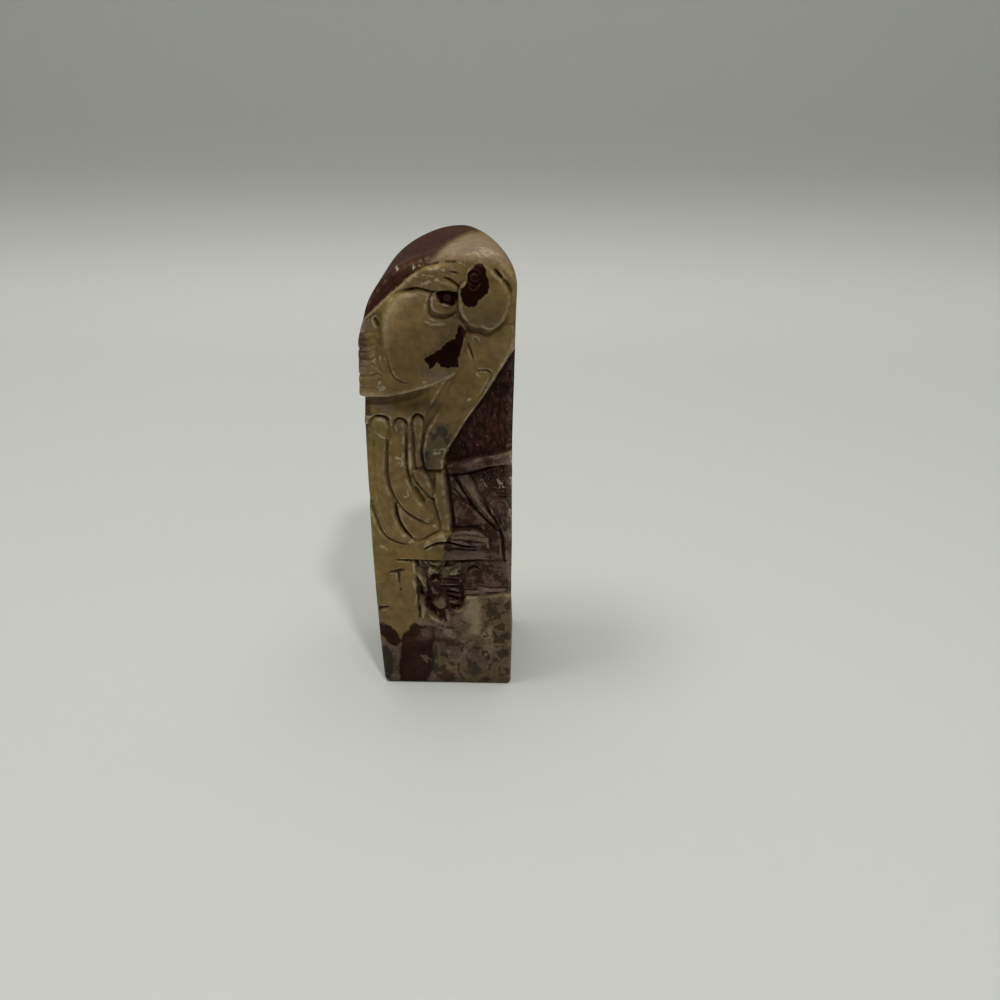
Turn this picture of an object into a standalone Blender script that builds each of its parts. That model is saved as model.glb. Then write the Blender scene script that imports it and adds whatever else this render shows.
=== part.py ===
# Soapstone bird carving: one upright block of stone with a rounded top. A bird of prey with a bowed
# head and a cape of neck feathers is cut into the front and left faces, over a perch, rocks and a
# flat polished foot. Bird, perch and foot are the same stone, so the whole carving is one solid.
#
# The stone is made as it is carved: a plain blank is lofted, given a fine even skin, and each spot
# of the skin is cut back by the depth that the drawing of its face gives.

import bmesh
import bpy
import numpy as np
from mathutils import Vector

# Driving sizes of the stone, in metres
HEIGHT = 0.150
WIDTH = 0.0462
DEPTH = 0.0400
EDGE_ROUND = 0.0010          # front and back edges
CROWN_ROUND = 0.0050         # rounding of the brow into the top of the stone
CAPE_STANDS_OUT = 0.0013     # cape beyond the wing, on the left and back
UNDER_CAPE = 0.0019          # how far the wing lies behind the lip of the cape
BACKGROUND_DEPTH = 0.0034    # ground above the branch, behind the chest
LEAF_GROUND_DEPTH = 0.0022   # ground behind the leaves and right of the leg
FEATHER_CUT = 0.0012         # height of the long wing feathers over the cuts between them

# Fineness of the skin that is carved, and of the finished solid
SKIN_STEP = 0.0006
TRIANGLES = 9400

# The faces are drawn on a sheet this big, in millimetres, and the drawing follows the stone's size
SHEET_WIDTH = 46.2
SHEET_DEPTH = 40.0
SHEET_HEIGHT = 150.0
MM = 0.001
FOOT_CORNERS = (2.0, 1.3)    # rounding of the foot's left and right corners
LEFT_WALL_SWING = 1.5        # how far the bowed left wall falls in towards the foot
RIGHT_WALL_SWING = 0.9       # how far the right wall falls in below the head

STONE_COLOUR = (0.30, 0.21, 0.12, 1.0)
STONE_ROUGHNESS = 0.55


# Lines and outlines of the drawing

def ease(value):
    """0 below 0, 1 above 1, and a smooth rise between."""
    value = np.clip(value, 0.0, 1.0)
    return value * value * (3.0 - 2.0 * value)


def flowing(points, steps=5, closed=False):
    """A smooth line through a few points of the drawing."""
    points = np.array(points, float)
    if closed:
        padded = np.vstack([points[-1], points, points[0], points[1]])
    else:
        padded = np.vstack([2 * points[0] - points[1], points, 2 * points[-1] - points[-2]])
    line = []
    for before, start, end, after in zip(padded, padded[1:], padded[2:], padded[3:]):
        for t in np.arange(steps) / steps:
            line.append(0.5 * (2 * start + (end - before) * t
                               + (2 * before - 5 * start + 4 * end - after) * t ** 2
                               + (3 * start - before - 3 * end + after) * t ** 3))
    if not closed:
        line.append(points[-1])
    return np.array(line)


def nearest(line, across, up):
    """Distance from each spot to a line, and where along it (0 to 1) the nearest point lies."""
    best = np.full(across.shape, np.inf)
    along = np.zeros(across.shape)
    runs = np.linalg.norm(np.diff(line, axis=0), axis=1)
    travelled = 0.0
    for (x0, z0), (x1, z1), run in zip(line[:-1], line[1:], runs):
        share = ((across - x0) * (x1 - x0) + (up - z0) * (z1 - z0)) / max(run * run, 1e-9)
        share = np.clip(share, 0.0, 1.0)
        gap = np.hypot(across - x0 - share * (x1 - x0), up - z0 - share * (z1 - z0))
        closer = gap < best
        best[closer] = gap[closer]
        along[closer] = travelled + share[closer] * run
        travelled += run
    return best, along / travelled


def inside(outline, across, up):
    """True for each spot inside a closed outline."""
    within = np.zeros(across.shape, bool)
    for (x0, z0), (x1, z1) in zip(outline, np.roll(outline, -1, axis=0)):
        if z0 == z1:
            continue
        crosses = (z0 > up) != (z1 > up)
        within ^= crosses & (across < x0 + (up - z0) * (x1 - x0) / (z1 - z0))
    return within


class Face:
    """One face of the stone: places across and up the sheet, and the depth cut at each, in mm."""

    def __init__(self, across, up):
        self.across = across
        self.up = up
        self.depth = np.zeros(across.shape)

    def around(self, line, reach):
        low = line.min(axis=0) - reach
        high = line.max(axis=0) + reach
        return np.flatnonzero((self.across > low[0]) & (self.across < high[0])
                              & (self.up > low[1]) & (self.up < high[1]))

    def cut(self, points, width, depth, taper=0.15):
        """A cut of the knife: deepest on its line, running out at both ends."""
        line = flowing(points)
        spots = self.around(line, 2.0 * width)
        gap, along = nearest(line, self.across[spots], self.up[spots])
        ends = ease(np.minimum(along, 1.0 - along) / taper + 0.35)
        self.depth[spots] += depth * ends * np.exp(-(gap / (0.55 * width)) ** 2)

    def furrow(self, points, width, depth):
        """A cut whose two banks are rounded over, as between feathers."""
        self.cut(points, width, 0.65 * depth)
        self.cut(points, 3.2 * width, 0.35 * depth)

    def lower(self, outline, depth, edge, share=None):
        """Ground cut back inside an outline. A negative depth leaves the inside standing. A share
        for each spot makes the ground shallower where it is under 1."""
        spots = self.around(outline, edge)
        across, up = self.across[spots], self.up[spots]
        gap, _ = nearest(np.vstack([outline, outline[:1]]), across, up)
        gap = np.where(inside(outline, across, up), gap, -gap)
        here = 1.0 if share is None else share[spots]
        self.depth[spots] += depth * here * ease(gap / edge + 0.5)

    def swell(self, outline, height, edge):
        """A rounded swelling inside an outline, over a shoulder as wide as the edge."""
        spots = self.around(outline, 0.0)
        spots = spots[inside(outline, self.across[spots], self.up[spots])]
        gap, _ = nearest(np.vstack([outline, outline[:1]]), self.across[spots], self.up[spots])
        rise = np.clip(gap / edge, 0.0, 1.0)
        self.depth[spots] -= height * np.sqrt(1.0 - (1.0 - rise) ** 2)


# Outlines that more than one part of the carving shares, in mm on the front sheet
CHEST_EDGE = flowing([(24.0, 123.0), (20.0, 116.8), (16.0, 110.0), (12.0, 103.8), (8.0, 98.0),
                      (4.6, 92.0), (1.6, 87.0), (0.8, 82.0)])
LEG_FRONT = flowing([(0.9, 81.0), (1.2, 74.0), (2.0, 66.4), (2.7, 59.8)])
CAPE_LIP = flowing([(-24.5, 106.2), (-20.0, 106.1), (-15.0, 106.3), (-10.0, 107.3), (-5.0, 108.8),
                    (0.0, 110.6), (3.0, 112.0), (5.0, 113.3)])
LEG_BACK = flowing([(-1.8, 81.0), (-2.7, 71.4), (-1.6, 65.8), (-0.5, 59.4)])
CHEST_BACK = flowing([(5.4, 113.3), (2.4, 106.4), (-1.2, 100.0), (-3.8, 95.6), (-5.0, 91.0), (-5.7, 87.0),
                      (-4.7, 81.6)])
BEAK_LINE = flowing([(8.4, 142.2), (7.0, 140.4), (6.2, 137.0), (6.4, 133.6), (7.6, 130.8), (9.8, 128.6),
                     (12.6, 128.0), (15.4, 127.2), (18.0, 128.4), (20.2, 131.0), (21.0, 134.2)])
CROWN_LINE = flowing([(-25.0, 127.6), (-21.0, 130.3), (-17.0, 134.0), (-13.0, 137.8), (-9.0, 141.4),
                      (-5.0, 144.5), (-1.0, 146.0), (5.0, 146.8), (10.0, 146.6), (16.0, 145.4),
                      (24.0, 140.0)])


# The block's own rounded top

def quarter_arch(share, fullness):
    """Height of a quarter arch, 1 at its crown and 0 at its wall."""
    share = np.clip(np.abs(share), 0.0, 1.0)
    return (1.0 - share ** fullness) ** (1.0 / fullness)


def crown_height(across, backward):
    """Top of the stone over each spot. The crown stands right of the middle and leans to the left
    as it runs back, and its right shoulder is fuller in front, over the beak, than behind."""
    crown = 9.5 - 4.0 * backward
    top = SHEET_HEIGHT - 0.6 * backward
    left_spring = 125.0
    right_spring = 140.0 - 10.0 * backward
    left_share = (crown - across) / (crown + 0.5 * SHEET_WIDTH)
    right_share = (across - crown) / (0.5 * SHEET_WIDTH - crown)
    left = left_spring + (top - left_spring) * quarter_arch(left_share, 2.4 - 0.35 * backward)
    right = right_spring + (top - right_spring) * quarter_arch(right_share, 2.5 - 0.8 * backward)
    return np.where(across < crown, left, right)


def blank_ring(y, inset):
    """The outline of the blank at one depth, in metres, drawn in from the full size by an inset."""
    half = 0.5 * SHEET_WIDTH
    angles = np.linspace(-1.0, 1.0, 61)
    across = half * np.sin(angles * 0.5 * np.pi)
    top = crown_height(across, y / DEPTH + 0.5)
    wall_left = np.linspace(FOOT_CORNERS[0], top[0], 30)[:-1]
    wall_right = np.linspace(top[-1], FOOT_CORNERS[1], 30)[1:]
    left = np.column_stack([np.full(wall_left.shape, -half), wall_left])
    over = np.column_stack([across, top])
    right = np.column_stack([np.full(wall_right.shape, half), wall_right])
    turns = np.linspace(0.0, 0.5 * np.pi, 6)
    right_corner = np.column_stack([half - FOOT_CORNERS[1] * (1.0 - np.cos(turns)),
                                    FOOT_CORNERS[1] * (1.0 - np.sin(turns))])[1:]
    left_corner = np.column_stack([-half + FOOT_CORNERS[0] * (1.0 - np.cos(turns)),
                                   FOOT_CORNERS[0] * (1.0 - np.sin(turns))])[:0:-1]
    ring = np.vstack([left, over, right, right_corner, left_corner])
    bow = np.abs((ring[:, 1] - 66.0) / 66.0) ** 2.2
    ring[:, 0] += LEFT_WALL_SWING * bow * ease(0.5 - ring[:, 0] / half)
    ring[:, 0] -= RIGHT_WALL_SWING * ease((135.0 - ring[:, 1]) / 50.0) * ease(0.5 + ring[:, 0] / half)
    ring *= (WIDTH / SHEET_WIDTH, HEIGHT / SHEET_HEIGHT)
    middle = np.array([0.0, 0.5 * HEIGHT])
    reach = np.array([0.5 * WIDTH, 0.5 * HEIGHT])
    ring = middle + (ring - middle) * (1.0 - inset / reach)
    return [Vector((x, y, z)) for x, z in ring]


def lofted_blank():
    """The uncarved block, lofted from front to back with rounded front and back edges."""
    rounding = [(-0.5 * DEPTH + EDGE_ROUND * (1.0 - np.sin(turn)), EDGE_ROUND * (1.0 - np.cos(turn)))
                for turn in np.linspace(0.5 * np.pi, 0.0, 5)]
    straight = [(y, 0.0) for y in np.linspace(rounding[-1][0], -rounding[-1][0], 10)[1:-1]]
    sections = rounding + straight + [(-y, inset) for y, inset in reversed(rounding)]
    mesh = bmesh.new()
    rings = []
    for y, inset in sections:
        rings.append([mesh.verts.new(corner) for corner in blank_ring(y, inset)])
    for ring, following in zip(rings, rings[1:]):
        for i in range(len(ring)):
            j = (i + 1) % len(ring)
            mesh.faces.new((ring[i], ring[j], following[j], following[i]))
    mesh.faces.new(rings[0])
    mesh.faces.new(rings[-1])
    bmesh.ops.recalc_face_normals(mesh, faces=mesh.faces)
    return mesh


# The bird, in front

def carve_background(face):
    """The ground to the right of chest and leg, with a branch and hanging lance leaves left standing."""
    toes_end = flowing([(4.0, 60.0), (8.0, 60.6), (12.2, 59.8), (14.9, 57.6), (15.0, 55.0), (17.6, 50.8)])
    ground = np.vstack([CHEST_EDGE, LEG_FRONT, toes_end, [(26, 50.8), (26, 123)]])
    face.lower(ground, LEAF_GROUND_DEPTH / MM, 0.9, ease((face.up - 50.0) / 6.0))
    branch_top = flowing([(26, 88.2), (21, 87.6), (17, 86.7), (13, 86.1), (9, 85.0), (5, 84.4), (1.8, 83.6)])
    above_branch = np.vstack([CHEST_EDGE[:-4], branch_top[::-1], [(26, 123)]])
    face.lower(above_branch, (BACKGROUND_DEPTH - LEAF_GROUND_DEPTH) / MM, 1.0)
    branch_foot = flowing([(1.8, 79.8), (5, 80.2), (9, 80.6), (13, 81.9), (18, 83.2), (26, 84.4)])
    branch = np.vstack([branch_top, branch_foot])
    face.lower(branch, -0.7, 0.8)
    face.swell(branch, 0.6, 1.6)
    face.cut(branch_top[5:], 0.7, 0.4)
    face.cut([(2.6, 79.9), (5.4, 79.6), (9.0, 80.4), (13.0, 81.6), (17.4, 82.7)], 0.9, 0.9)
    face.cut([(9.6, 84.6), (10.4, 82.8), (10.2, 81.4)], 0.8, 0.3)
    long_leaf = flowing([(4.6, 79.4), (6.4, 75.4), (8.6, 71.8), (10.6, 68.8), (13.0, 65.6), (16.0, 62.6),
                         (18.4, 60.2), (16.2, 64.4), (13.8, 68.2), (12.2, 71.6), (11.0, 75.4), (8.8, 79.6)],
                        closed=True)
    small_leaf = flowing([(2.8, 78.8), (4.2, 78.2), (5.6, 75.6), (7.8, 72.2), (6.2, 71.6), (4.4, 73.0),
                          (2.8, 75.4)], closed=True)
    low_leaf = flowing([(4.0, 70.2), (8.0, 69.4), (11.4, 65.8), (14.2, 62.4), (9, 61.6), (4.2, 61.8)],
                       closed=True)
    right_leaf = flowing([(14.6, 69.0), (17.4, 71.4), (20.8, 70.4), (21.4, 64.8), (21.2, 57.6), (20.4, 55.6),
                          (19.2, 59.6), (16.6, 65.0)], closed=True)
    for leaf, height in ((long_leaf, 1.3), (small_leaf, 0.9), (low_leaf, 0.7), (right_leaf, 0.7)):
        face.lower(leaf, -0.6 * height, 0.6)
        face.swell(leaf, 0.4 * height, 1.8)
    for stroke, width, depth in (
            ([(4.4, 79.4), (5.8, 76.0), (8.0, 72.2), (9.8, 69.2), (12.2, 65.9), (14.8, 62.9),
              (18.4, 59.0)], 0.9, 0.9),
            ([(8.6, 79.8), (10.3, 76.2), (11.5, 72.7), (12.8, 69.8), (15.0, 66.4), (18.0, 61.6)], 0.9, 0.8),
            ([(3.6, 75.6), (5.4, 72.9), (7.0, 71.0)], 0.8, 0.8),
            ([(5.6, 78.4), (6.4, 76.0)], 0.7, 0.6),
            ([(9.2, 70.8), (8.8, 68.2)], 0.9, 0.6),
            ([(12.0, 62.0), (14.6, 58.6), (16.4, 56.4)], 0.9, -0.5),
            ([(18.2, 60.4), (19.2, 56.5), (19.7, 51.5), (20.1, 48.2)], 1.1, 1.2),
            ([(17.6, 72.0), (20.6, 71.8)], 0.8, 0.6),
            ([(18.2, 64.0), (18.8, 62.2)], 0.9, 0.7),
            ([(3.6, 66.0), (3.7, 62.6)], 0.8, 0.5)):
        face.cut(stroke, width, depth)
    for middle, height in ((12.6, 77.2), (14.4, 75.6), (13.4, 73.2), (16.0, 78.4), (18.4, 77.6),
                           (19.2, 74.6),
                           (16.6, 74.4), (21.2, 79.0), (6.6, 66.2), (20.8, 68.0), (15.6, 67.0)):
        face.cut([(middle - 0.9, height - 0.7), (middle, height + 0.1),
                  (middle + 0.9, height - 0.2)], 0.7, 0.5)


def carve_wing(face):
    """Long folded feathers that hang from under the cape to the perch, each a rounded lobe."""
    crests = FEATHER_CUT / MM
    wing_foot = flowing([(-5.5, 56.9), (-10.6, 55.4), (-15.6, 56.2), (-19.2, 58.8), (-21.6, 65.2),
                         (-24.5, 75.0)])
    wing = np.vstack([CAPE_LIP, CHEST_BACK, LEG_BACK, wing_foot])
    towards_chest = 1.0 - 0.85 * ease((face.across + 8.0) / 8.0) * ease((face.up - 96.0) / 8.0)
    towards_foot = 0.3 + 0.7 * ease((face.up - 54.0) / 16.0)
    face.lower(wing, 0.7 + crests, 1.0, towards_chest * towards_foot)
    arches = flowing([(-4.5, 98.4), (-5.2, 100.0), (-6.8, 100.5), (-8.3, 99.4), (-9.0, 97.2), (-9.6, 96.8),
                      (-10.3, 98.2), (-12.1, 98.9), (-13.8, 98.1), (-14.6, 96.4), (-15.2, 96.8),
                      (-16.0, 99.0),
                      (-18.5, 99.8), (-20.5, 99.2), (-21.7, 97.4)])
    coverts = np.vstack([CAPE_LIP[:-6], [(-3.9, 101.0)], arches, [(-24.5, 97.0)]])
    face.lower(coverts, -0.9 * crests, 0.6)
    for left, top, right in ((-21.4, 99.4, -15.4), (-14.2, 98.6, -10.2), (-8.6, 99.9, -4.7)):
        middle = 0.5 * (left + right)
        face.cut([(left, top - 1.6), (left + 1.0, top - 0.2), (middle, top + 0.2), (right - 0.8, top - 0.2),
                  (right, top - 1.4)], 0.9, 0.8)
    under = np.interp(face.across, CAPE_LIP[:, 0], CAPE_LIP[:, 1]) - face.up
    shadow_step = ease(under / 0.8 + 0.4) * (1.0 - ease((under - 1.0) / 5.0))
    shadow_step *= 1.0 - ease((face.across + 6.0) / 12.0)
    face.depth += 0.6 * UNDER_CAPE / MM * shadow_step
    outer = flowing([(-25.0, 98.0), (-19.0, 99.8), (-15.8, 97.2), (-16.7, 91.0), (-17.4, 82.0),
                     (-17.0, 76.4),
                     (-15.6, 70.4), (-15.0, 65.8), (-13.8, 61.4), (-11.6, 58.4), (-8.8, 56.0), (-12.0, 55.4),
                     (-15.6, 56.4), (-19.0, 59.0), (-21.2, 65.0), (-22.7, 71.0), (-25.0, 79.0)], closed=True)
    second = flowing([(-14.4, 97.2), (-12.2, 98.9), (-10.2, 97.2), (-10.6, 90.0), (-10.8, 84.0),
                      (-10.3, 78.6),
                      (-9.2, 74.8), (-7.2, 71.2), (-4.6, 67.4), (-2.6, 64.6), (-4.8, 62.8), (-8.5, 64.4),
                      (-11.0, 66.1), (-13.0, 68.4), (-14.8, 72.0), (-16.3, 76.5), (-16.6, 82.0),
                      (-16.2, 90.0)],
                     closed=True)
    third = flowing([(-14.2, 69.6), (-12.6, 67.2), (-10.6, 65.2), (-8.0, 63.5), (-4.6, 62.1), (-2.2, 62.4),
                     (-1.2, 59.8), (-5.0, 57.6), (-8.6, 57.0), (-11.0, 59.2), (-13.1, 62.4), (-14.2, 65.6)],
                    closed=True)
    inner_left = flowing([(-9.9, 96.6), (-9.1, 97.0), (-8.7, 93.0), (-8.8, 87.0), (-8.8, 82.0), (-9.6, 79.0),
                          (-10.4, 82.4), (-10.3, 89.4)], closed=True)
    inner_right = flowing([(-8.3, 97.6), (-6.7, 100.0), (-5.0, 97.6), (-5.4, 91.4), (-6.0, 87.0),
                           (-5.3, 83.0),
                           (-7.4, 81.4), (-8.1, 85.4), (-8.0, 92.0)], closed=True)
    blade = flowing([(-9.3, 81.4), (-7.7, 77.2), (-5.4, 74.0), (-3.0, 71.4), (-1.9, 73.0), (-2.9, 76.6),
                     (-4.4, 79.8), (-6.4, 81.4)], closed=True)
    first_scale = flowing([(-20.6, 99.0), (-16.8, 99.2), (-14.9, 97.0), (-15.0, 94.0), (-16.4, 91.8),
                           (-18.6, 92.8), (-20.4, 95.2)], closed=True)
    second_scale = flowing([(-14.0, 97.4), (-12.2, 98.8), (-10.2, 97.2), (-10.0, 95.2), (-11.6, 93.8),
                            (-13.6, 94.8)], closed=True)
    for lobe, rise, shoulder in ((outer, 1.1, 2.6), (second, 1.1, 2.6), (third, 0.6, 2.2),
                                 (inner_left, 0.8, 0.9), (inner_right, 0.9, 1.3), (blade, 1.2, 1.6),
                                 (first_scale, 0.5, 1.0), (second_scale, 0.5, 0.9)):
        face.swell(lobe, rise * crests, shoulder)
    for stroke, width, depth in (
            ([(-16.4, 91.6), (-16.8, 85.0), (-17.1, 79.0), (-16.2, 74.2), (-14.9, 70.8),
              (-12.6, 67.4)], 0.9, 0.5),
            ([(-15.0, 69.6), (-14.7, 65.6), (-13.6, 62.0), (-11.6, 58.9), (-9.4, 56.6)], 1.2, 1.1),
            ([(-12.6, 67.6), (-9.4, 65.0), (-5.4, 63.0)], 0.8, 0.4),
            ([(-10.5, 94.0), (-10.7, 88.0), (-10.8, 83.0), (-10.2, 78.2), (-9.2, 74.9)], 0.9, 0.7),
            ([(-8.5, 75.4), (-7.4, 72.4), (-5.6, 69.4)], 1.8, 1.1),
            ([(-8.5, 94.0), (-8.4, 88.0), (-8.1, 82.0)], 0.7, 0.5),
            ([(-5.2, 93.6), (-5.4, 89.6), (-5.8, 86.6), (-4.8, 82.4)], 0.8, 0.6),
            ([(-4.0, 79.4), (-2.8, 75.6), (-2.0, 72.8)], 0.8, 0.5),
            ([(-8.4, 77.4), (-6.0, 74.0), (-3.2, 71.2), (-2.4, 70.2)], 0.9, 0.6),
            ([(-20.2, 96.0), (-20.7, 85.0), (-20.4, 75.0), (-18.6, 65.0), (-15.0, 59.4)], 1.0, 0.25),
            ([(-22.6, 70.5), (-21.3, 64.6), (-19.1, 58.9), (-15.6, 56.4), (-11.0, 55.0)], 0.7, 0.5)):
        face.cut(stroke, width, depth * crests)


def carve_chest_and_leg(face):
    """Throat, chest and thigh in one long sweep, and one thin leg gripping the perch."""
    body = np.vstack([CHEST_EDGE[2:], CHEST_BACK[::-1], flowing([(6.6, 117.0), (8.6, 123.0), (9.0, 130.0)]),
                      [(14.0, 128.6), (22.6, 129.0)]])
    face.lower(body, 0.7, 2.4)
    face.swell(body, 1.1, 5.5)
    face.cut([(-5.4, 81.8), (-2.0, 81.3), (1.4, 81.6)], 1.1, 1.5)
    leg = np.vstack([LEG_FRONT, LEG_BACK[::-1]])
    face.lower(leg, 1.4, 0.7)
    face.swell(leg, 0.9, 1.6)
    face.furrow([(-1.9, 79.8), (-2.7, 71.4), (-1.5, 65.6), (-0.5, 60.0)], 0.8, 0.9)
    face.cut([(1.9, 81.6), (2.2, 75.0), (2.9, 67.0), (3.4, 59.8)], 1.5, 1.5)
    near_claw = flowing([(0.2, 59.6), (-2.6, 59.0), (-5.0, 57.2), (-6.4, 54.6), (-4.6, 54.8), (-1.5, 56.4),
                         (1.5, 56.6)], closed=True)
    far_claws = flowing([(2.2, 59.2), (5.0, 60.3), (9.0, 60.4), (12.8, 59.6), (14.8, 57.6), (13.6, 55.6),
                         (8.0, 54.8), (3.0, 56.0)], closed=True)
    face.lower(near_claw, -0.2, 0.7)
    face.swell(near_claw, 0.9, 1.6)
    face.lower(far_claws, 0.4, 0.8)
    face.swell(far_claws, 1.1, 2.2)
    for stroke, width, depth in (
            ([(3.6, 58.8), (8.0, 59.2), (13.2, 58.3)], 0.7, 0.6),
            ([(3.4, 57.4), (6.0, 57.6), (8.6, 56.8), (13.6, 56.6)], 0.7, 0.6),
            ([(5.4, 60.2), (9.0, 60.5), (12.8, 59.8)], 0.7, 0.7),
            ([(-6.2, 57.0), (-5.0, 57.9), (-2.6, 59.3), (-0.8, 59.9)], 0.8, 0.6),
            ([(-5.9, 53.6), (-3.5, 55.2), (0.0, 56.1), (4.0, 55.5), (7.6, 54.6), (11.0, 54.3)], 1.0, 1.4),
            ([(11.3, 115.0), (14.2, 115.1), (15.8, 114.2), (15.6, 112.0), (13.6, 108.2),
              (11.8, 105.2)], 0.7, 0.7),
            ([(12.4, 113.8), (11.8, 112.6)], 0.9, -0.4),
            ([(8.8, 109.0), (8.7, 106.4)], 0.8, 0.3),
            ([(11.2, 125.0), (11.9, 123.6)], 0.9, 0.5)):
        face.cut(stroke, width, depth)


def carve_head(face):
    """Bowed head with a brow, a round cheek, and a big hooked beak that curls in to the right."""
    throat = flowing([(5.4, 113.4), (7.4, 118.0), (8.6, 124.0), (8.8, 130.0)])
    head = np.vstack([CAPE_LIP, throat, BEAK_LINE[20:], [(24.5, 138.0), (24.5, 152.0), (-24.5, 152.0)]])
    face.lower(head, -0.5, 1.2)
    cheek = flowing([(-5.5, 138.2), (-10.0, 138.2), (-13.8, 136.0), (-15.6, 131.0), (-16.0, 124.0),
                     (-15.4, 118.0), (-13.6, 113.4), (-10.6, 110.6), (-5.0, 110.8), (1.0, 112.8),
                     (5.4, 116.0),
                     (8.0, 121.0), (8.8, 128.0), (5.0, 131.2), (-1.4, 131.2), (-2.6, 135.0)], closed=True)
    face.swell(cheek, 1.2, 7.0)
    cheek_back = [(-3.6, 138.7), (-9.0, 139.0), (-14.2, 136.8), (-16.4, 131.0), (-16.7, 124.0),
                  (-16.0, 118.0)]
    face.furrow(cheek_back, 1.2, 0.5)
    cheek_ridge = [(-4.8, 138.0), (-8.5, 137.4), (-11.6, 135.8), (-13.8, 132.4), (-14.8, 128.4),
                   (-15.0, 123.0)]
    face.cut(cheek_ridge, 2.8, -0.8)
    beak_front = flowing([(21.9, 137.0), (20.6, 140.4), (18.2, 143.4), (16.4, 145.6), (13.0, 147.2),
                          (9.2, 145.2)])
    face.swell(np.vstack([BEAK_LINE, beak_front]), 1.5, 5.0)
    face.cut(BEAK_LINE + (0.6, 0.9), 0.9, -0.45)
    face.cut(BEAK_LINE[22:] - (0.2, 1.1), 2.4, 0.7)
    socket = flowing([(-1.7, 137.6), (0.4, 138.7), (6.2, 138.5), (6.4, 134.0), (4.2, 131.6), (0.0, 131.2),
                      (-2.0, 133.6)], closed=True)
    eye = flowing([(0.1, 138.1), (2.4, 138.7), (6.2, 138.2), (6.3, 136.0), (5.0, 134.2), (3.2, 134.8),
                   (0.8, 135.4)], closed=True)
    pupil = flowing([(1.9, 136.8), (3.0, 138.0), (4.6, 137.2), (4.2, 135.6), (2.8, 135.4)], closed=True)
    face.lower(socket, 0.5, 1.0)
    face.lower(eye, 1.0, 0.6)
    face.swell(pupil, 0.8, 1.3)
    nostril = [(11.3 + 1.7 * np.cos(a), 143.1 + 1.7 * np.sin(a)) for a in np.arange(0.4, 6.4, 0.6)]
    for stroke, width, depth in (
            ([(8.6, 142.4), (7.0, 140.4), (6.3, 137.0), (6.4, 133.6)], 0.9, 0.8),
            ([(6.5, 134.2), (6.0, 132.6), (7.6, 130.4)], 1.6, 0.3),
            ([(16.9, 145.2), (18.2, 143.7), (19.2, 142.6)], 1.1, 1.2),
            ([(19.2, 142.4), (20.6, 141.0), (21.9, 138.2)], 1.3, 0.9),
            ([(21.0, 134.2), (21.9, 136.6), (21.4, 138.6)], 0.8, 0.4),
            ([(-8.9, 138.9), (-5.0, 139.4), (-2.2, 138.7), (0.0, 138.5)], 0.8, 1.1),
            ([(-8.9, 138.9), (-5.0, 139.5), (-1.4, 138.6), (3.0, 138.9), (6.4, 138.5)], 1.9, 0.5),
            ([(2.6, 142.8), (3.9, 142.4), (5.2, 141.6), (6.8, 140.0)], 0.9, 1.1),
            ([(1.0, 141.6), (4.0, 140.6), (6.6, 139.2)], 1.2, -0.4),
            ([(1.0, 143.9), (3.4, 143.4), (5.8, 142.2)], 1.0, -0.4),
            ([(4.2, 144.4), (5.4, 144.3), (6.8, 143.9)], 0.7, 0.8),
            ([(-6.4, 143.6), (-3.0, 142.6), (0.6, 143.4)], 1.4, -0.3),
            ([(7.0, 147.2), (8.6, 147.8), (8.4, 146.0)], 1.0, -0.4),
            ([(-1.0, 137.4), (-1.1, 135.4), (-0.6, 133.4), (1.4, 132.4), (4.0, 132.6),
              (5.8, 133.6)], 1.0, -0.6),
            ([(0.6, 134.7), (2.4, 133.9), (4.4, 133.6)], 0.7, 0.4),
            ([(-0.7, 138.4), (-1.6, 137.0), (-2.1, 134.4), (-1.8, 132.2), (-0.6, 131.1), (1.9, 130.8),
              (4.4, 131.5), (6.1, 132.8)], 0.7, 0.9),
            ([(-3.4, 130.2), (-1.0, 129.4), (2.4, 129.4), (5.0, 130.4)], 1.0, -0.35),
            (nostril, 0.7, 0.6),
            ([(9.4, 140.6), (11.2, 139.6), (13.2, 141.4)], 0.8, -0.3),
            ([(9.0, 123.4), (10.0, 120.8), (10.8, 118.2)], 0.8, 0.9),
            ([(-15.4, 121.0), (-14.7, 118.0), (-14.0, 114.8), (-12.8, 112.6), (-10.6, 111.4), (-8.0, 110.9)],
             0.7, 0.6),
            ([(-5.0, 119.0), (-4.8, 116.0), (-4.2, 112.9)], 1.2, 0.3),
            ([(-3.6, 126.6), (-3.2, 124.2), (-3.5, 121.4)], 0.9, 0.25)):
        face.cut(stroke, width, depth)


def carve_crown(face):
    """A raised roll along the brow line, above which the stone rounds over into its top."""
    face.cut(CROWN_LINE[5:36] - (0.0, 1.0), 2.2, -0.5)
    line = np.interp(face.across, CROWN_LINE[:, 0], CROWN_LINE[:, 1])
    room = np.maximum(crown_height(face.across, 0.0) - line, 0.5)
    share = np.clip((face.up - line) / room, 0.0, 1.0)
    face.depth += CROWN_ROUND / MM * (1.0 - np.sqrt(1.0 - (0.97 * share) ** 2))
    face.depth += 0.8 * ease((face.up - line) / 0.7 + 0.5) * (1.0 - ease((face.across - 2.0) / 5.0))


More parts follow.
